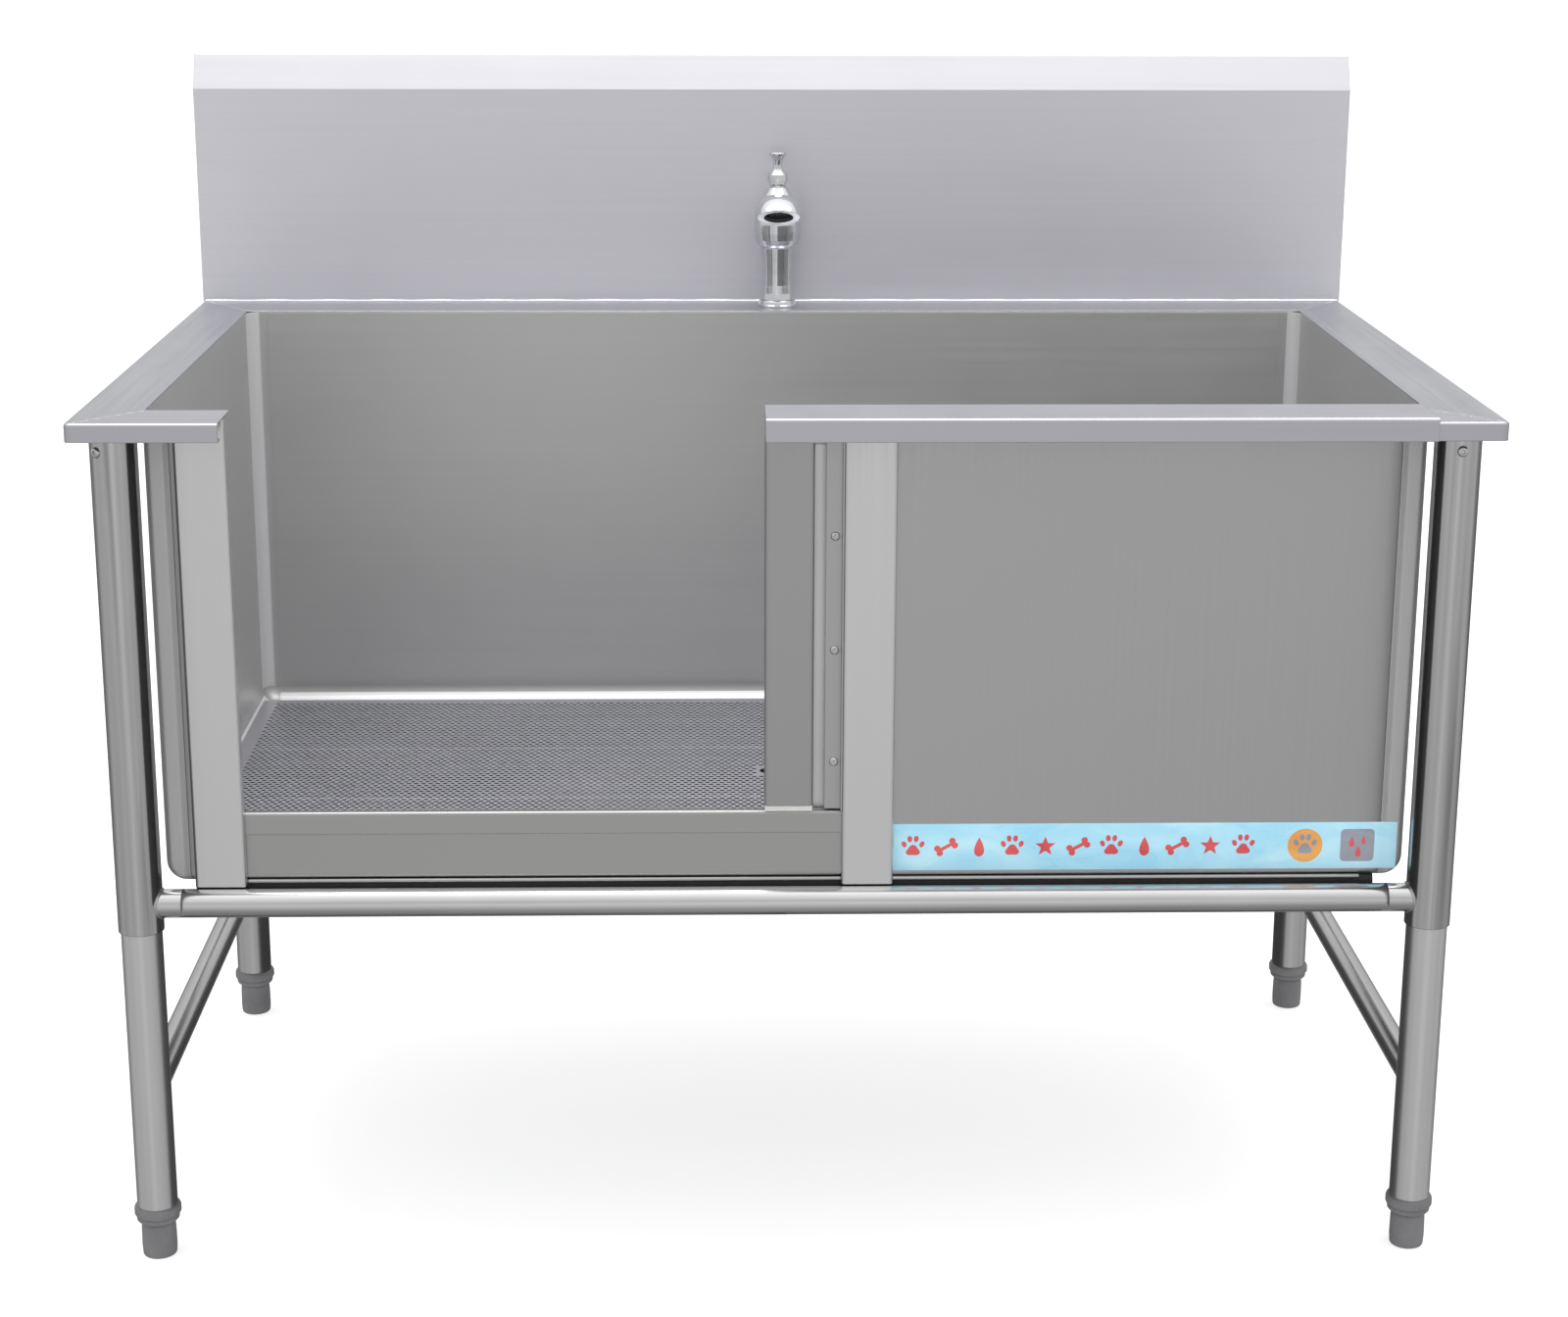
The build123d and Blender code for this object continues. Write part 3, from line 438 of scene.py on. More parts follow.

# Nodes whose sheet or tube has its own grain or a lighter or darker tone, by the finish that they share; the
# tones marked below are painted light and painted shade
OWN_FINISH = {
    node: finish
    for finish, nodes in (
        (steel("rim_steel_y", (0.545, 0.56, 0.585), 0.34, "y", grain=0.012, contrast=0.04),
         "rim_left rim_right"),
        (steel("rim_steel_z", grey(0.77), 0.36, "z", grain=0.008, contrast=0.02),
         "post_left post_right"),
        # Painted light: the door sheet takes a lighter grey than the sheet steel, to brighten its face
        # inside the bowl.
        (steel("door_sheet_lit", grey(0.70), 0.36, "z", grain=0.01, contrast=0.03), "door_sheet"),
        (steel("door_edge_z", grey(0.44), 0.32, "z", grain=0.012, contrast=0.04), "door_edge_box"),
        (steel("tube_steel_x", grey(0.68), 0.2, "x", grain=0.03, spread=0.05),
         "rail_front rail_rear"),
        (steel("tube_steel_y", grey(0.62), 0.22, "y", grain=0.03, spread=0.05),
         "stretcher_left stretcher_right"),
        # Painted shade: the rear lower legs are the same satin tube as the front ones, in a darker grey.
        (steel("tube_satin_rear_shaded", grey(0.60), 0.32, "z", grain=0.015, contrast=0.04),
         "leg_lower_rear_left leg_lower_rear_right"),
        (steel("bowl_steel", (0.545, 0.545, 0.54), 0.43, "x", grain=0.01, contrast=0.03, metallic=0.62),
         "tub_back_wall tub_side_left tub_side_right"),
        # Painted shade: the tub floor is near black, for the shade under the perforated floor that shows
        # through its holes.
        (steel("bowl_floor_shade", (0.24, 0.24, 0.26), 0.36, "x", grain=0.01, contrast=0.05), "tub_floor"),
        (moulded("aerator_black", grey(0.012), grey(0.03), 0.4), "tap_aerator"),
        (SILL, "sill_cap sill_panel"),
    )
    for node in nodes.split()
}
SLOTS = {part["node"]: part["material_slot"] for part in frame["record"]["subparts"]}


def finish_cad_nodes():
    """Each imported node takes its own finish, or else its slot's."""
    for node, obj in frame["nodes"].items():
        slot = SLOTS[node]
        obj.data.materials.clear()
        obj.data.materials.append(OWN_FINISH.get(node, FINISHES[slot]))


# ---- perforated floor ----
HOLE_PITCH = 7.0 * MM
HOLE_ROW = HOLE_PITCH * sqrt(3) / 2
HOLE_R, HOLE_SIDES = 2.3 * MM, 8
PLAIN_MARGIN = 11 * MM
# The edge is rolled down: how far in each line of points lies, and how far below the top
ROLL_IN, ROLL_DROP = (0.0, 0.5 * MM, 1.4 * MM), (0.9 * MM, 0.25 * MM)
FINGER_R, FINGER_SIDES = 9.5 * MM, 32
FINGER_FROM_SEAM = 30 * MM
FINGER_CELLS = (4, 5)              # the block of holes that the finger hole takes
BANDS = 3                          # meshes per sheet, from front to back
SKIRT_END = 520 * MM
SKIRT_INSET = 0.6 * MM
SKIRT_FOOT, SKIRT_GAP, SKIRT_BEVEL = 40 * MM, 4 * MM, 1.5 * MM


def rim_of(i0, j0, i1, j1):
    """Grid points round a block of cells."""
    return (
        [(i, j0) for i in range(i0, i1)] + [(i1, j) for j in range(j0, j1)]
        + [(i, j1) for i in range(i1, i0, -1)] + [(i0, j) for j in range(j1, j0, -1)]
    )


def annulus(mesh, outer, inner, centre, flip):
    """Faces between two loops of points round a centre, both counter-clockwise."""

    def angle(index):
        x, y = mesh.points[index][:2]
        return atan2(y - centre[1], x - centre[0]) % (2 * pi)

    def next_angle(loop, k):
        if k >= len(loop):
            return inf
        return angle(loop[(k + 1) % len(loop)]) + (2 * pi if k + 1 == len(loop) else 0)

    outer, inner = sorted(outer, key=angle), sorted(inner, key=angle)
    a, b = len(outer), len(inner)
    i = j = 0
    while i < a or j < b:
        if next_angle(outer, i) <= next_angle(inner, j):
            face = (outer[i % a], outer[(i + 1) % a], inner[j % b])
            i += 1
        else:
            face = (outer[i % a], inner[(j + 1) % b], inner[j % b])
            j += 1
        mesh.faces.append(tuple(reversed(face)) if flip else face)


def drops(count, near, far):
    """How far each line of points lies below the top, where the near and far edges are rolled."""
    levels = [0.0] * count
    if near:
        levels[:2] = ROLL_DROP
    if far:
        levels[-2:] = reversed(ROLL_DROP)
    return levels


class Band:
    """One band of a perforated sheet: a grid of points on both faces, and the holes in it."""

    def __init__(self, xs, ys, top, front, back):
        self.mesh = Mesh()
        self.xs, self.ys, self.top = xs, ys, top
        self.tops, self.bottoms, self.taken = {}, {}, set()
        across, along = drops(len(xs), True, True), drops(len(ys), front, back)
        for j, y in enumerate(ys):
            for i, x in enumerate(xs):
                self.tops[i, j] = self.mesh.point((x, y, top - max(across[i], along[j])))
                self.bottoms[i, j] = self.mesh.point((x, y, top - SHEET))

    def hole(self, block, centre, radius, sides):
        """A round hole in place of a block of cells."""
        i0, j0, i1, j1 = block
        self.taken.update((i, j) for i in range(i0, i1) for j in range(j0, j1))
        turns = [2 * pi * (k + 0.5) / sides for k in range(sides)]
        upper, lower = (
            [self.mesh.point((centre[0] + radius * cos(a), centre[1] + radius * sin(a), z)) for a in turns]
            for z in (self.top, self.top - SHEET)
        )
        border = rim_of(*block)
        annulus(self.mesh, [self.tops[b] for b in border], upper, centre, False)
        annulus(self.mesh, [self.bottoms[b] for b in border], lower, centre, True)
        for k in range(sides):
            n = (k + 1) % sides
            self.mesh.faces.append((upper[k], upper[n], lower[n], lower[k]))

    def hole_row(self, j, first, columns):
        """A row of round holes, except where a hole is already."""
        for c in range(columns):
            i = first + 2 * c
            if {(i, j), (i + 1, j)} & self.taken:
                continue
            centre = ((self.xs[i] + self.xs[i + 2]) / 2, (self.ys[j] + self.ys[j + 1]) / 2)
            self.hole((i, j, i + 2, j + 1), centre, HOLE_R, HOLE_SIDES)

    def close(self):
        """The plain cells and the cut edge, which make the mesh whole."""
        for j in range(len(self.ys) - 1):
            for i in range(len(self.xs) - 1):
                if (i, j) in self.taken:
                    continue
                corners = [(i, j), (i + 1, j), (i + 1, j + 1), (i, j + 1)]
                self.mesh.faces.append(tuple(self.tops[c] for c in corners))
                self.mesh.faces.append(tuple(self.bottoms[c] for c in reversed(corners)))
        edge = rim_of(0, 0, len(self.xs) - 1, len(self.ys) - 1)
        for a, b in zip(edge, [*edge[1:], edge[0]]):
            self.mesh.faces.append((self.tops[b], self.tops[a], self.bottoms[a], self.bottoms[b]))
        return self.mesh


def perforated_sheet(low, high, finger):
    """A sheet of staggered round holes with plain rolled margins and one finger hole, as one
    mesh for each band."""
    columns = floor((high.x - low.x - 2 * PLAIN_MARGIN) / HOLE_PITCH)
    rows = floor((high.y - low.y - 2 * PLAIN_MARGIN) / HOLE_ROW)
    left = (low.x + high.x - columns * HOLE_PITCH) / 2
    front = (low.y + high.y - rows * HOLE_ROW) / 2
    first = len(ROLL_IN)
    xs = [low.x + k for k in ROLL_IN]
    xs += [left + k * HOLE_PITCH / 2 for k in range(2 * columns + 1)]
    xs += [high.x - k for k in reversed(ROLL_IN)]
    finger_i = first + 2 * round((finger[0] - left) / HOLE_PITCH - FINGER_CELLS[0] / 2)
    finger_row = round((finger[1] - front) / HOLE_ROW - FINGER_CELLS[1] / 2)
    meshes = []
    for k in range(BANDS):
        begin, end = k * rows // BANDS, (k + 1) * rows // BANDS
        is_front, is_back = k == 0, k == BANDS - 1
        ys = [low.y + d for d in ROLL_IN] if is_front else []
        offset = len(ys) - begin
        ys += [front + row * HOLE_ROW for row in range(begin, end + 1)]
        ys += [high.y - d for d in reversed(ROLL_IN)] if is_back else []
        band = Band(xs, ys, high.z, is_front, is_back)
        if begin <= finger_row and finger_row + FINGER_CELLS[1] <= end:
            j = finger_row + offset
            block = (finger_i, j, finger_i + 2 * FINGER_CELLS[0], j + FINGER_CELLS[1])
            band.hole(block, finger, FINGER_R, FINGER_SIDES)
        for row in range(begin, end):
            stagger = row % 2
            band.hole_row(row + offset, first + stagger, columns - stagger)
        meshes.append(band.close())
    return meshes


def skirt(mesh, start, end, top, bottom):
    """A folded flange under the sheet, cut away between its two end feet. The grate's middle
    is on the left of the way from start to end."""
    length, foot, bevel = (end - start).length, SKIRT_FOOT, SKIRT_BEVEL
    half = [(0, 0), (foot - bevel, 0), (foot, bevel), (foot + bevel, SKIRT_GAP)]
    outline = [*half, *((length - x, z) for x, z in reversed(half))]
    outline += [(length, top - bottom), (0, top - bottom)]
    prism(mesh, outline, at((end.x, end.y, bottom), start - end, (0, 0, 1)), SHEET)


def floor_grate(side):
    """One half of the lift-out floor: a perforated sheet on four skirts."""
    node, body = f"floor_grate_{side}", f"grate_{side}"
    low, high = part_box(node)
    sign, seam = (-1, high.x) if side == "left" else (1, low.x)
    finger = (seam + sign * FINGER_FROM_SEAM, (low.y + high.y) / 2)
    for k, sheet in enumerate(perforated_sheet(low, high, finger)):
        piece(f"perforated_floor_{side}_{k + 1}", sheet, body, "perforated_steel", replaces=[node])
    x0, x1 = sorted((sign * SKIRT_END, seam))
    y0, y1 = low.y + SKIRT_INSET, high.y - SKIRT_INSET
    corners = [Vector((x, y, 0)) for x, y in ((x0, y0), (x1, y0), (x1, y1), (x0, y1))]
    mesh = Mesh()
    for start, end in zip(corners, [*corners[1:], corners[0]]):
        skirt(mesh, start, end, high.z - SHEET, low.z)
    piece(f"floor_skirts_{side}", mesh, body, "perforated_steel", replaces=[node])


# ---- feet, collars and screws ----
CORNERS = ("front_left", "front_right", "rear_left", "rear_right")
FOOT_TOP, STUD_TOP = 34 * MM, 83 * MM
THREAD = 1.75 * MM
# (radius, height) in millimetres above the floor
PAD_PROFILE = [(15.0, 0), (15.6, 10), (15.4, 26), (15.0, 31), (13.8, 34), (6.0, 34)]
COLLAR_PROFILE = [
    (6.05, 34), (15.8, 34), (17.8, 34.3), (18.9, 35.6), (19.2, 38.6), (18.6, 39.4), (18.6, 40.0),
    (20.2, 40.5), (20.8, 41.6), (20.8, 46.6), (20.2, 48.2), (18.4, 49), (16.4, 49), (16.4, 79), (6.05, 79),
]


def millimetres(profile):
    """A profile in metres."""
    return [(r * MM, z * MM) for r, z in profile]


def leg_axis(corner):
    """The foot of a leg's axis, on the floor."""
    centre = centre_of(f"foot_{corner}")
    return Matrix.Translation((centre.x, centre.y, 0))


def levelling_foot(corner):
    """A moulded pad with a rounded sole and its threaded stud."""
    pad = rounded([(0, 0), *millimetres(PAD_PROFILE)], 2.6 * MM, 5)
    turns = floor((STUD_TOP - FOOT_TOP - 1.2 * MM) / THREAD)
    stud = []
    for k in range(turns):
        z = FOOT_TOP + 0.2 * MM + k * THREAD
        stud += [(5.5 * MM, z + 0.1 * MM), (6.0 * MM, z + 0.8 * MM), (6.0 * MM, z + 1.0 * MM)]
    stud += [(5.0 * MM, STUD_TOP), (0, STUD_TOP)]
    mesh = Mesh()
    lathe(mesh, pad[:-1] + stud, leg_axis(corner), 40)
    piece(f"foot_pad_{corner}", mesh, f"foot_{corner}", SLOTS[f"foot_{corner}"], replaces=[f"foot_{corner}"])


def leg_collars():
    """The moulded collars between the leg tubes and the feet, with the inserts they're part of."""
    mesh = Mesh()
    for corner in CORNERS:
        lathe(mesh, millimetres(COLLAR_PROFILE), leg_axis(corner), 48, ring=True)
    piece("leg_collars", mesh, "bath", SLOTS["leg_inserts"], replaces=["leg_inserts"], sharp=50)


SOCKET_R = 1.9 * MM
CROSS_REACH, CROSS_WIDTH = 2.1 * MM, 0.95 * MM
TINY = 1e-6


def hexagon(angle, radius):
    """The set screws' sockets are hexagons; other radii are round."""
    if abs(radius - SOCKET_R) > TINY:
        return radius
    return radius * cos(pi / 6) / cos(angle % (pi / 3) - pi / 6)


def cross(angle, radius):
    """The guide screws' recesses are crosses; other radii are round."""
    if abs(radius - CROSS_REACH) > TINY:
        return radius
    turn = (angle + pi / 4) % (pi / 2) - pi / 4
    return min(CROSS_REACH / cos(turn), CROSS_WIDTH / 2 / max(abs(sin(turn)), TINY))


# (radius, height) in millimetres from the surface that the screw's head stands on
SET_SCREW = [(0, -9), (2.5, -9), (2.5, -0.6), (4.6, -0.6), (4.6, 0.9), (4.2, 1.7), (3.4, 2.15), (2.5, 2.4),
             (1.9, 2.3), (1.9, 0.4), (0, 0.1)]
GUIDE_SCREW = [(0, -9), (2, -9), (2, 0), (4, 0), (4, 0.7), (3.7, 1.4), (3.1, 1.9), (2.5, 2.2),
               (2.1, 2.15), (2.1, 1.2), (0, 0.9)]
# Which way each leg's set screw faces, in degrees from +X
SET_SCREW_TURN = {"front_left": 235, "front_right": 268, "rear_left": 125, "rear_right": 55}
GUIDE_SCREW_R = 4 * MM


def radius_of(node):
    """The radius of an upright tube."""
    low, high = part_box(node)
    return (high.x - low.x) / 2


def set_screws():
    """A socket screw high on each leg."""
    height = centre_of("set_screws").z
    radius = radius_of("leg_upper_front_left")
    mesh = Mesh()
    for corner in CORNERS:
        turn = radians(SET_SCREW_TURN[corner])
        out = Vector((cos(turn), sin(turn), 0))
        origin = leg_axis(corner).translation + radius * out + Vector((0, 0, height))
        place = at(origin, Vector((0, 0, 1)).cross(out), (0, 0, 1))
        lathe(mesh, millimetres(SET_SCREW), place, 36, hexagon)
    piece("hex_set_screws", mesh, "bath", SLOTS["set_screws"], replaces=["set_screws"], sharp=40)


def guide_screws():
    """Three cross-head screws down the guide angle."""
    low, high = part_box("guide_screws")
    middle = (low + high) / 2
    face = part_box("guide_angle")[1].y - SHEET
    mesh = Mesh()
    for z in (low.z + GUIDE_SCREW_R, middle.z, high.z - GUIDE_SCREW_R):
        lathe(mesh, millimetres(GUIDE_SCREW), at((middle.x, face, z), (1, 0, 0), (0, 0, 1)), 48, cross)
    piece("cross_guide_screws", mesh, "bath", SLOTS["guide_screws"], replaces=["guide_screws"], sharp=40)


# ---- tap ----
SHANK_PITCH = 1.81 * MM
SHANK_R, SHANK_ROOT, SHANK_PLAIN_R, SHANK_BORE = 10.45 * MM, 9.5 * MM, 10.2 * MM, 6 * MM
NECK_R, NECK = 13 * MM, 10 * MM          # the neck that the tap's head turns on
WAIST = [(16.9, 0), (17.7, 0.8), (17.4, 2.6), (16.7, 7), (16.15, 16), (15.95, 28), (16.3, 40), (17.0, 50)]
RING = [(10.7, 0), (20.0, 0), (20.0, 2.2), (19.0, 3.0), (18.8, 5.0)]


def tap_axis():
    """The foot of the tap's axis, on the floor."""
    centre = centre_of("tap_base_ring")
    return Matrix.Translation((centre.x, centre.y, 0))


def raised(profile, height):
    """A profile in metres, lifted to a height."""
    return [(r, height + z) for r, z in millimetres(profile)]


def tap_pillar():
    """The tap's waisted column, its turning neck and its threaded shank."""
    column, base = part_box("tap_column"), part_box("tap_base_ring")[1].z
    bottom, top = column[0].z, column[1].z
    split = top - NECK
    shoulder = [(17.3 * MM, split - 0.6 * MM), (16.8 * MM, split), (NECK_R, split), (NECK_R, top)]
    waist = rounded(raised(WAIST, base) + shoulder, 9 * MM, 5)
    shank_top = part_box("tap_locknut")[0].z - 0.5 * MM
    shank = [(9.2 * MM, bottom)]
    for k in range(floor((shank_top - bottom) / SHANK_PITCH)):
        z = bottom + 0.4 * MM + k * SHANK_PITCH
        shank += [(SHANK_ROOT, z), (SHANK_R, z + 0.7 * MM), (SHANK_R, z + 0.95 * MM)]
    shank += [(SHANK_PLAIN_R, shank_top), (SHANK_PLAIN_R, base)]
    mesh = Mesh()
    lathe(mesh, [(SHANK_BORE, bottom), *shank, *waist, (SHANK_BORE, top)], tap_axis(), 72, ring=True)
    piece("tap_pillar", mesh, "bath", SLOTS["tap_column"], replaces=["tap_column"], sharp=38)


def tap_foot_ring():
    """The stepped ring that the tap stands on."""
    low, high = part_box("tap_base_ring")
    profile = rounded([*raised(RING, low.z), (18.0 * MM, high.z), (RING[0][0] * MM, high.z)], 1.0 * MM, 4)
    mesh = Mesh()
    lathe(mesh, profile, tap_axis(), 72, ring=True)
    piece("tap_foot_ring", mesh, "bath", SLOTS["tap_base_ring"], replaces=["tap_base_ring"], sharp=38)


# ---- welds and ground seams ----
RIPPLE = 2.1 * MM
LOWER_LEG_R = 18 * MM
RAIL_WELD, STRETCHER_WELD, TACK = 1.35 * MM, 1.2 * MM, 0.9 * MM
WELD_STEPS = 150
TACKS, TACK_LENGTH = 5, 14 * MM
FIRST_TACK, LAST_TACK = 30 * MM, 50 * MM     # up from the posts' feet, down from their tops
SEAM_HALF, SEAM_STEPS = 2.2 * MM, 24


def bead(mesh, path, radius, closed=False):
    """A weld bead: a thin tube whose size ripples along its length."""
    radii, run = [], 0.0
    for i, point in enumerate(path):
        run += (point - path[i - 1]).length if i else 0.0
        radii.append(radius * (1 + 0.08 * sin(2 * pi * run / RIPPLE) + 0.05 * sin(run / radius / 0.8)))
    tube(mesh, path, radii, 8, closed)


def branch_weld(mesh, start, toward, branch_r, leg_r, radius):
    """The fillet where a level tube meets an upright one. toward is the way from the leg's
    axis along the level tube."""
    side = toward.cross((0, 0, 1))
    path = []
    for k in range(WELD_STEPS):
        a = 2 * pi * k / WELD_STEPS
        across, height = branch_r * cos(a), branch_r * sin(a)
        out = sqrt(leg_r * leg_r - across * across)
        path.append(start + toward * out + side * across + Vector((0, 0, height)))
    bead(mesh, path, radius, closed=True)


def frame_welds():
    """The welds where the rails meet the upper legs and the stretchers the lower ones."""
    mesh = Mesh()
    upper_r = radius_of("leg_upper_front_left")
    joints = [
        (f"rail_{end}", f"{end}_{side}", Vector((way, 0, 0)), upper_r, RAIL_WELD)
        for end in ("front", "rear") for side, way in (("left", 1), ("right", -1))
    ] + [
        (f"stretcher_{side}", f"{end}_{side}", Vector((0, way, 0)), LOWER_LEG_R, STRETCHER_WELD)
        for side in ("left", "right") for end, way in (("front", 1), ("rear", -1))
    ]
    for tube_node, corner, toward, leg_r, radius in joints:
        low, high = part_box(tube_node)
        start = leg_axis(corner).translation + Vector((0, 0, (low.z + high.z) / 2))
        branch_weld(mesh, start, toward, (high.z - low.z) / 2, leg_r, radius)
    piece("frame_welds", mesh, "bath", "tube_steel", WELD)


def line(start, end, step=0.55 * MM):
    """Points from start to end, about a step apart."""
    start, end = Vector(start), Vector(end)
    count = max(2, round((end - start).length / step))
    return [start.lerp(end, k / count) for k in range(count + 1)]


def post_welds():
    """Short tacks that hold the doorway posts to the front sheet."""
    mesh = Mesh()
    left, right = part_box("post_left"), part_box("post_right")
    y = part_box("front_panel_right")[0].y - 0.2 * MM
    pitch = (left[1].z - left[0].z - FIRST_TACK - LAST_TACK) / (TACKS - 1)
    for x in (left[0].x, right[1].x):
        for k in range(TACKS):
            z = left[0].z + FIRST_TACK + k * pitch
            bead(mesh, line((x, y, z), (x, y, z + TACK_LENGTH)), TACK)
    piece("post_tacks", mesh, "bath", "sheet_steel", WELD)


# The bowl's inner faces
BOWL_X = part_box("rim_right")[0].x
BOWL_FRONT, BOWL_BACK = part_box("rim_front_left")[1].y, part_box("back_deck")[0].y


def rim_seams():
    """Ground and polished seams across the rim's mitred corners and the deck's end folds."""
    low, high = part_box("rim_left")
    top = high.z - 0.05 * MM
    up = Vector((0, 0, 1))
    mitres = ((BOWL_FRONT, low.y + 4 * MM, 50 * MM), (BOWL_BACK, high.y - 12 * MM, 49 * MM))
    mesh = Mesh()
    for inner_y, outer_y, reach in mitres:
        for sign in (-1, 1):
            start = Vector((sign * BOWL_X, inner_y, top))
            seam = Vector((sign * (BOWL_X + reach), outer_y, top)) - start
            along, step = seam.normalized(), seam.length / SEAM_STEPS
            ks = range(SEAM_STEPS + 1)
            outline = [(k * step, -SEAM_HALF * (0.8 + 0.2 * sin(k * 2.3))) for k in ks]
            outline += [(k * step, SEAM_HALF * (0.8 + 0.2 * sin(k * 1.7 + 1))) for k in reversed(ks)]
            prism(mesh, outline, at(start, along, up.cross(along)), 0.15 * MM)
    piece("rim_seams", mesh, "bath", "rim_steel", GROUND_WELD)


def deck_joint():
    """The ground fillet where the splash panel stands on the back deck."""
    low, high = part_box("splash_panel")
    z = low.z + 0.2 * MM
    path = line((low.x + 2 * MM, low.y, z), (high.x - 2 * MM, low.y, z), 12 * MM)
    radii = [(1.9 + 0.25 * sin(i * 1.3)) * MM for i in range(len(path))]
    mesh = Mesh()
    tube(mesh, path, radii, 10)
    piece("deck_joint", mesh, "bath", "rim_steel", GROUND_WELD)


# ---- painted highlight strips in the bends, packing and hems ----
REAR_BEND, SIDE_BEND = 15 * MM, 16.5 * MM     # radii inside the bowl
HEM_R, PANEL_CORNER, HEM_INSET = 1.9 * MM, 17 * MM, 0.5 * MM
# (back, up) in millimetres from the front rail's middle and the tub floor's underside
PACKING = [(17, 0.2), (14.5, 0.2), (12.5, -4), (12.5, -7.5), (19, -13), (21, 0.2), (17, 0.2)]


def bend_skin(centre, radius, skin, first, last, steps, sign=1):
    """The outline of a thin skin inside a bend, from one angle in degrees to another. A sign
    of -1 mirrors it."""
    turns = [radians(first + (last - first) * k / steps) for k in range(steps + 1)]
    outline = [(centre[0] + radius * cos(a), centre[1] + radius * sin(a)) for a in turns]
    inside = radius - skin
    outline += [(centre[0] + inside * cos(a), centre[1] + inside * sin(a)) for a in reversed(turns)]
    return outline if sign > 0 else [(-x, y) for x, y in reversed(outline)]


def cove(name, centre, bend, place, depth, material, signs=(1,)):
    """A thin bright strip in a bend, or one on each side: a painted highlight where the bend catches the
    light. bend is what bend_skin takes.
    """
    mesh = Mesh()
    for sign in signs:
        prism(mesh, bend_skin(centre, *bend, sign), place, depth)
    piece(name, mesh, "bath", "sheet_steel", material)


def bowl_coves():
    """The painted highlight strips up the bowl's two rear corners, along its two sides and across its back.
    """
    floor_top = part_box("tub_floor")[1].z
    x, y, z = BOWL_X - REAR_BEND, BOWL_BACK - REAR_BEND, floor_top + REAR_BEND
    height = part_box("rim_left")[1].z - SHEET - z
    rear_skin = (REAR_BEND, 0.2 * MM)
    upright = Matrix.Translation((0, 0, z))
    cove("upright_coves", (x, y), (*rear_skin, 8, 78, 12), upright, height, UPRIGHT_HIGHLIGHT, (-1, 1))
    front, back = BOWL_FRONT + 1.5 * MM, BOWL_BACK - 15.5 * MM
    centre = (BOWL_X - SIDE_BEND, floor_top + SIDE_BEND)
    along = at((0, back, 0), (1, 0, 0), (0, 0, 1))
    cove("side_coves", centre, (SIDE_BEND, 0.3 * MM, -62, -28, 8), along, back - front, LEVEL_HIGHLIGHT, (-1, 1))
    half = BOWL_X - 17 * MM
    across = at((-half, 0, 0), (0, 1, 0), (0, 0, 1))
    cove("rear_cove", (y, z), (*rear_skin, -78, -28, 8), across, 2 * half, LEVEL_HIGHLIGHT)


def packing_shade_strip():
    """The black rubber packing between the tub's front bend and the front rail. Its black also stands for
    the shade in the gap there, as painted shade.
    """
    rail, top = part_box("rail_front"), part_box("tub_floor")[0].z
    middle = (rail[0].y + rail[1].y) / 2
    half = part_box("front_panel_right")[1].x - 4 * MM
    outline = rounded([(middle + y * MM, top + z * MM) for y, z in PACKING], 1.2 * MM)[:-1]
    mesh = Mesh()
    prism(mesh, outline, at((-half, 0, 0), (0, 1, 0), (0, 0, 1)), 2 * half)
    piece("packing_shade_strip", mesh, "bath", "seal_rubber")


def lower_hems():
    """The front sheets' lower edges, folded over above the packing."""
    sill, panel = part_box("sill_panel"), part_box("front_panel_right")
    y, z = sill[0].y - 0.3 * MM, sill[0].z - 0.2 * MM
    hems = (
        ("sill_hem", sill[0].x + HEM_INSET, sill[1].x - HEM_INSET, SILL),
        ("panel_hem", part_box("post_right")[1].x + HEM_INSET, panel[1].x - PANEL_CORNER, None),
    )
    for name, x0, x1, material in hems:
        mesh = Mesh()
        tube(mesh, [Vector((x0, y, z)), Vector((x1, y, z))], [HEM_R] * 2, 12)
        piece(name, mesh, "bath", "sheet_steel", material)


# ---- the printed strip ----
# Each motif is a list of outlines, about 2 units wide
def ellipse(x, y, a, b, turn=0.0, steps=18):
    """The outline of a turned ellipse."""
    ring = [(a * cos(2 * pi * k / steps), b * sin(2 * pi * k / steps)) for k in range(steps)]
    return [(x + u * cos(turn) - v * sin(turn), y + u * sin(turn) + v * cos(turn)) for u, v in ring]


def paw():
    """A pad and four toes."""
    toes = [(-0.75, 0.25, 0.45), (-0.27, 0.72, 0.12), (0.27, 0.72, -0.12), (0.75, 0.25, -0.45)]
    shapes = [ellipse(x, y, 0.2, 0.28, turn) for x, y, turn in toes]
    pad = []
    for k in range(28):
        a = 2 * pi * k / 28
        r = 0.5 + 0.08 * cos(3 * (a - pi / 2))
        pad.append((1.1 * r * cos(a), -0.32 + 0.9 * r * sin(a)))
    return [*shapes, pad]


def bone():
    """A shaft with two lobes at each end, on a slant."""
    turn = 0.5
    lobes = ((0.72, -0.23, 162), (0.72, 0.23, -58), (-0.72, 0.23, -18), (-0.72, -0.23, 122))
    points = []
    for x, y, first in lobes:
        for k in range(15):
            a = radians(first + 256 * k / 14)
            points.append((x + 0.27 * cos(a), y + 0.27 * sin(a)))
    return [[(x * cos(turn) - y * sin(turn), x * sin(turn) + y * cos(turn)) for x, y in points]]


def drop():
    """A drop with its tip up."""
    points = []
    for k in range(24):
        a = 2 * pi * k / 24
        squeeze = 0.5 * (1 - sin(a)) ** 0.6
        points.append((0.75 * cos(a) * squeeze, 0.85 * sin(a)))
    return [points]


def star():
    """A star with five points."""
    turns = [(0.38 if k % 2 else 0.9, pi / 2 + k * pi / 5) for k in range(10)]
    return [[(r * cos(a), r * sin(a)) for r, a in turns]]


INK = 0.12 * MM


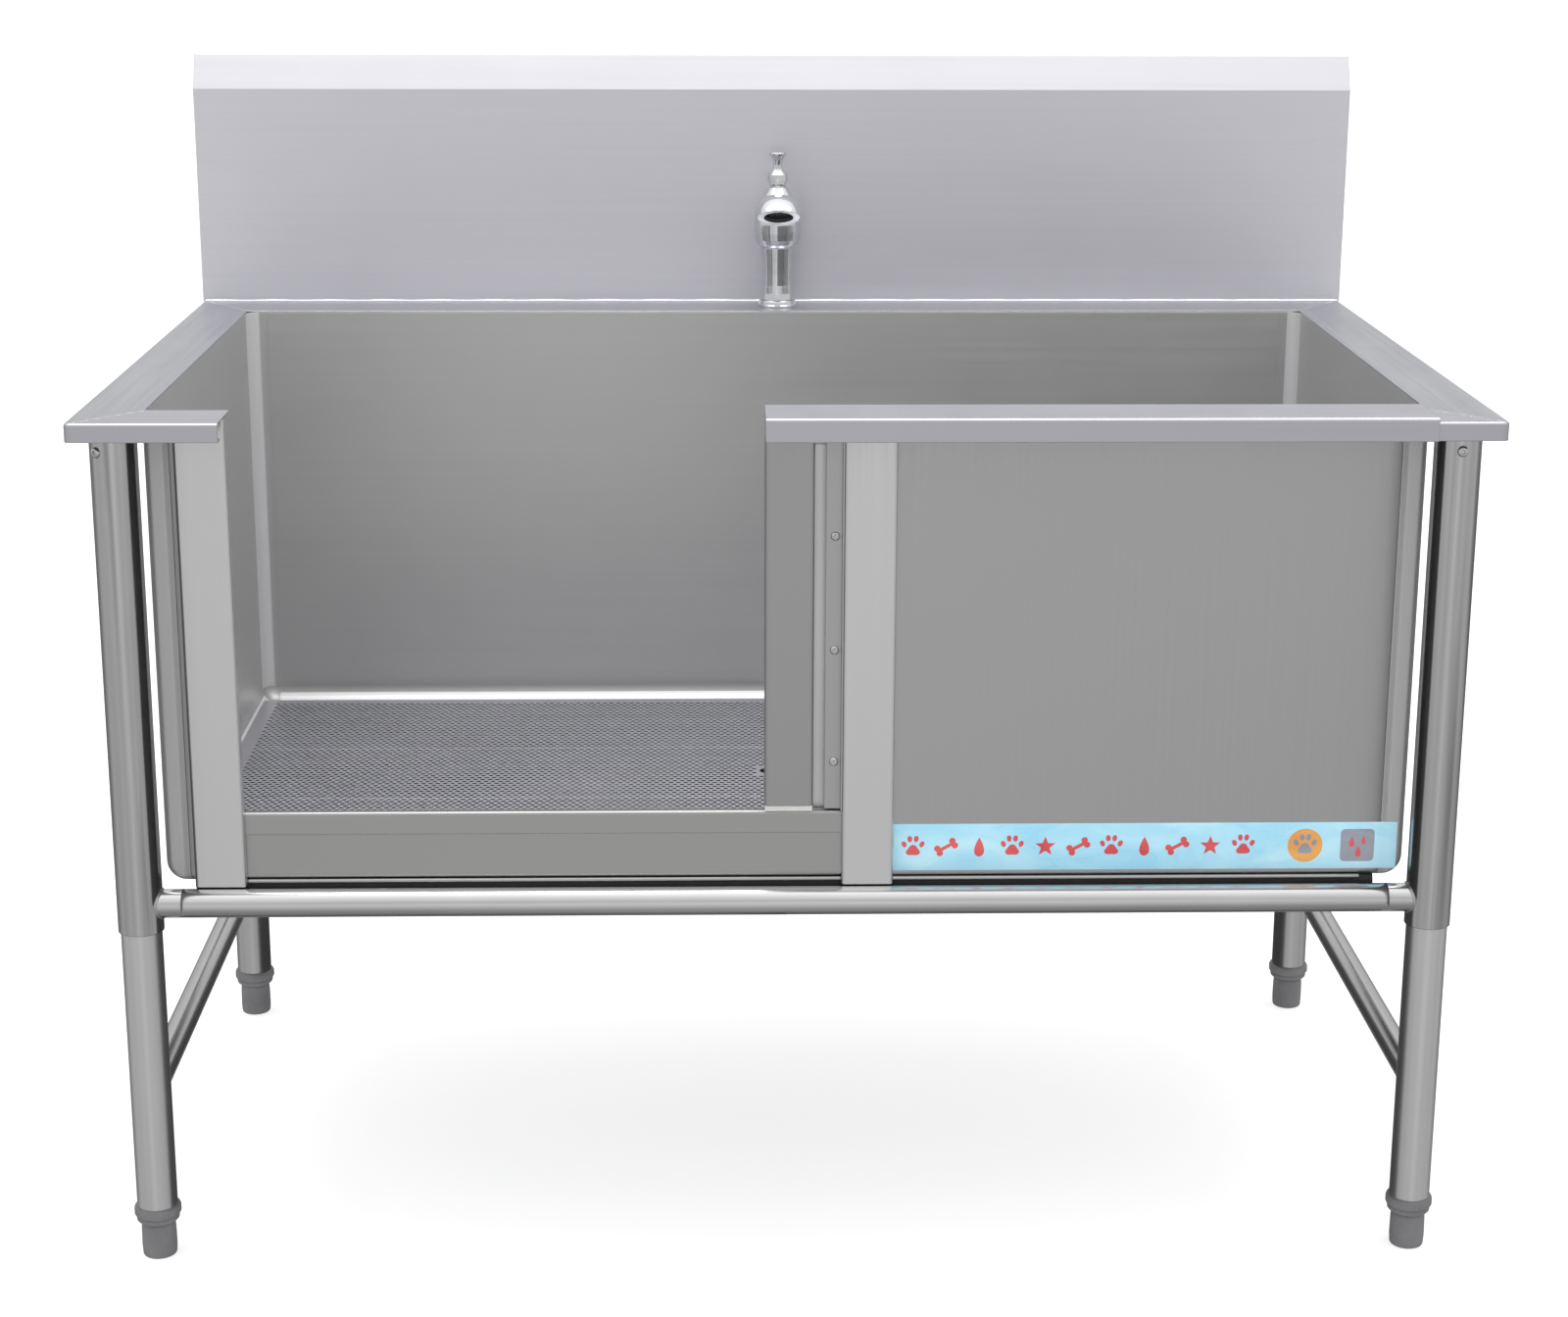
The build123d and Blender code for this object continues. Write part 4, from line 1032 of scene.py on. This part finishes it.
def print_shapes(mesh, shapes, x, z, size, face):
    """A motif printed at a height on the face, with a size for each of its units."""
    for shape in shapes:
        area = sum(a[0] * b[1] - b[0] * a[1] for a, b in zip(shape, [*shape[1:], shape[0]]))
        outline = [(u * size, v * size) for u, v in (shape if area > 0 else reversed(shape))]
        prism(mesh, outline, at((x, face, z), (1, 0, 0), (0, 0, 1)), INK)


MOTIF, DISC, BADGE = 10.5 * MM, 15.5 * MM, 15 * MM
# Places along the strip, as parts of its length
FIRST_MOTIF, MOTIF_STEP, DISC_AT, BADGE_AT = 0.04, 0.0655, 0.818, 0.922
BADGE_DROPS = ((-5, 3, 5.5), (5.5, 4.5, 4.5), (1, -6, 6))      # (across, up, size) in millimetres


def strip_print():
    """Plain pet motifs in place of the words and codes printed on such strips."""
    low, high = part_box("info_strip")
    face, z = low.y, (low.z + high.z) / 2
    width = high.x - low.x
    red, orange, grey = Mesh(), Mesh(), Mesh()
    motifs = [paw(), bone(), drop(), paw(), star(), bone(), paw(), drop(), bone(), star(), paw()]
    for k, motif in enumerate(motifs):
        print_shapes(red, motif, low.x + width * (FIRST_MOTIF + MOTIF_STEP * k), z, MOTIF, face)
    disc, badge = low.x + width * DISC_AT, low.x + width * BADGE_AT
    print_shapes(orange, [ellipse(0, 0, 1, 1, steps=40)], disc, z, DISC, face)
    print_shapes(grey, paw(), disc, z, MOTIF, face - INK)
    square = rounded([(0, -1), (1, -1), (1, 1), (-1, 1), (-1, -1), (0, -1)], 0.3, 4)[:-1]
    print_shapes(grey, [square], badge, z, BADGE, face)
    for dx, dz, size in BADGE_DROPS:
        print_shapes(red, drop(), badge + dx * MM, z + dz * MM, size * MM, face - INK)
    piece("strip_motifs", red, "bath", "strip_blue", RED_INK)
    piece("strip_disc", orange, "bath", "strip_blue", ORANGE_INK)
    piece("strip_badge", grey, "bath", "strip_blue", GREY_INK)


# ---- camera, floor and light ----
CAMERA_AT = (-0.06295, -2.71070, 1.21877)
CAMERA_YAW, CAMERA_PITCH, CAMERA_ROLL = radians(1.41), radians(15.30), radians(0.19)
LENS, SENSOR, SHIFT_Y = 66.39, 36.0, -0.0042


def add_camera():
    """The camera that was fitted to the photo."""
    data = bpy.data.cameras.new("camera")
    data.lens, data.sensor_width, data.shift_y = LENS, SENSOR, SHIFT_Y
    data.clip_start, data.clip_end = 0.05, 200.0
    yaw, pitch, roll = CAMERA_YAW, CAMERA_PITCH, CAMERA_ROLL
    ahead = Vector((sin(yaw) * cos(pitch), cos(yaw) * cos(pitch), -sin(pitch)))
    right = Vector((cos(yaw), -sin(yaw), 0))
    up = right.cross(ahead)
    x = right * cos(roll) + up * sin(roll)
    y = up * cos(roll) - right * sin(roll)
    camera = bpy.data.objects.new("camera", data)
    camera.matrix_world = Matrix.Translation(CAMERA_AT) @ Matrix((x, y, -ahead)).transposed().to_4x4()
    bpy.context.scene.collection.objects.link(camera)
    bpy.context.scene.camera = camera


def plain_material(name, colour, emission=0.0):
    """A matt material for the studio, which may glow white."""
    material = bpy.data.materials.new(name)
    material.use_nodes = True
    set_inputs(
        material.node_tree.nodes["Principled BSDF"], Base_Color=(*colour, 1), Roughness=0.9,
        Emission_Color=(1, 1, 1, 1), Emission_Strength=emission,
    )
    return material


def stage_object(name, points, faces, material):
    """An object of the studio, which isn't part of the bath."""
    data = bpy.data.meshes.new(name)
    data.from_pydata(points, [], faces)
    data.materials.append(material)
    obj = bpy.data.objects.new(name, data)
    bpy.context.scene.collection.objects.link(obj)
    return obj


STAGE_R, STAGE_SIDES, STAGE_H = 45.0, 64, 60.0
FLOOR_GREY, FLOOR_GLOW = 0.58, 0.68
# (x, first y, last y, bottom, top) of upright cards, in metres
DARK_CARDS = [(0, -0.33, 4, -1.5, 0.3)] + [(x, -0.334, -0.304, 0.33, 0.75) for x in (-0.53, 0.53)]


def stage_ring():
    """Points round the edge of the studio."""
    turns = [2 * pi * i / STAGE_SIDES for i in range(STAGE_SIDES)]
    return [(STAGE_R * cos(a), STAGE_R * sin(a)) for a in turns]


def add_floor():
    """A white floor that mirrors don't see."""
    ground = stage_object(
        "studio_floor", [(x, y, 0) for x, y in stage_ring()], [tuple(range(STAGE_SIDES))],
        plain_material("studio_white", grey(FLOOR_GREY), FLOOR_GLOW),
    )
    ground.visible_glossy = False


def add_backdrop():
    """Far walls of the floor's white, for the camera only."""
    n = STAGE_SIDES
    points = [(x, y, z) for z in (-0.01, STAGE_H) for x, y in stage_ring()]
    faces = [(i, (i + 1) % n, n + (i + 1) % n, n + i) for i in range(n)]
    faces.append(tuple(range(n, 2 * n)))
    wall = stage_object("studio_wall", points, faces, plain_material("studio_glow", (0, 0, 0), 1.0))
    wall.visible_glossy = wall.visible_diffuse = wall.visible_shadow = wall.visible_transmission = False


def add_dark_cards():
    """Cards that only mirrors see: one under the bath and one beside each front leg."""
    points = []
    for x, y0, y1, z0, z1 in DARK_CARDS:
        points += [(x, y0, z0), (x, y1, z0), (x, y1, z1), (x, y0, z1)]
    cards = stage_object(
        "dark_cards", points, [tuple(range(4 * k, 4 * k + 4)) for k in range(len(DARK_CARDS))],
        plain_material("dark_card", grey(0.07)),
    )
    cards.visible_camera = cards.visible_diffuse = cards.visible_shadow = cards.visible_transmission = False


# Levels from straight down (0) to straight up (1), then round from the front (0) to the back (1)
SKY = [
    (0.0, 0.26), (0.12, 0.32), (0.25, 0.46), (0.36, 0.54), (0.46, 0.66), (0.53, 0.66), (0.62, 0.62),
    (0.74, 0.80), (0.88, 1.02), (1.0, 1.4),
]
ROUND = [
    (0.0, 1.34), (0.06, 1.10), (0.13, 0.96), (0.24, 1.04), (0.36, 0.88), (0.5, 1.02), (0.62, 0.7),
    (0.70, 0.38), (0.84, 0.42), (1.0, 0.62),
]
FOLD, FOLD_SCALE, FOLD_DETAIL = 0.6, (6.0, 6.0, 0.6), 3.0


def grey_ramp(tree, value, stops):
    """A ramp of grey levels."""
    return ramp_node(tree, value, [(position, grey(level)) for position, level in stops])


def curtain_folds(tree, place, behind):
    """Soft upright bands round 1, the same on both sides, that leave the front plain."""
    sides = tree.nodes.new("ShaderNodeVectorMath")
    sides.operation = "ABSOLUTE"
    stretched = tree.nodes.new("ShaderNodeMapping")
    set_inputs(stretched, Scale=FOLD_SCALE)
    curtain = tree.nodes.new("ShaderNodeTexNoise")
    set_inputs(curtain, Scale=1.0, Detail=FOLD_DETAIL)
    tree.links.new(place, sides.inputs[0])
    tree.links.new(sides.outputs["Vector"], stretched.inputs["Vector"])
    tree.links.new(stretched.outputs["Vector"], curtain.inputs["Vector"])
    aside = math_node(tree, "MAXIMUM", math_node(tree, "MULTIPLY_ADD", behind, 7, -0.7), 0)
    aside = math_node(tree, "MINIMUM", aside, 1)
    fold = math_node(tree, "MULTIPLY_ADD", curtain.outputs["Fac"], FOLD, -FOLD / 2)
    return math_node(tree, "MULTIPLY_ADD", fold, aside, 1.0)


def add_light():
    """Soft light from a bright ceiling over greyer walls, as in a workshop."""
    world = bpy.data.worlds.new("soft_light")
    bpy.context.scene.world = world
    world.use_nodes = True
    tree = world.node_tree
    place = tree.nodes.new("ShaderNodeTexCoord").outputs["Generated"]
    split = tree.nodes.new("ShaderNodeSeparateXYZ")
    tree.links.new(place, split.inputs[0])
    x, y, z = (split.outputs[axis] for axis in "XYZ")
    level = grey_ramp(tree, math_node(tree, "MULTIPLY_ADD", z, 0.5, 0.5), SKY)
    ahead = math_node(tree, "MULTIPLY", y, -1)
    turn = math_node(tree, "ARCTAN2", math_node(tree, "ABSOLUTE", x), ahead)
    behind = math_node(tree, "DIVIDE", turn, pi)
    folds = curtain_folds(tree, place, behind)
    around = math_node(tree, "MULTIPLY", grey_ramp(tree, behind, ROUND), folds)
    low = math_node(tree, "SMOOTH_MIN", math_node(tree, "MULTIPLY_ADD", z, -3.0, 0.6), 1.0, 0.1)
    low = math_node(tree, "MAXIMUM", low, 0.0)
    blend = math_node(tree, "MULTIPLY_ADD", math_node(tree, "SUBTRACT", around, 1.0), low, 1.0)
    background = tree.nodes["Background"]
    tree.links.new(math_node(tree, "MULTIPLY", level, blend), background.inputs["Strength"])
    set_inputs(background, Color=(1.0, 1.0, 1.01, 1))


def add_ceiling_panel():
    """A wide light that shines straight down."""
    data = bpy.data.lights.new("ceiling_panel", "AREA")
    data.shape = "RECTANGLE"
    data.size, data.size_y = 3.2, 1.3
    data.energy = 40
    light = bpy.data.objects.new("ceiling_panel", data)
    light.location = (0.0, 0.1, 3.2)
    bpy.context.scene.collection.objects.link(light)


# ---- the scene ----
finish_cad_nodes()
for side in ("left", "right"):
    floor_grate(side)
for corner in CORNERS:
    levelling_foot(corner)
leg_collars()
set_screws()
guide_screws()
tap_pillar()
tap_foot_ring()
frame_welds()
post_welds()
rim_seams()
deck_joint()
bowl_coves()
packing_shade_strip()
lower_hems()
strip_print()

add_camera()
add_floor()
add_backdrop()
add_dark_cards()
add_light()
add_ceiling_panel()
bpy.context.scene.view_settings.view_transform = "Standard"
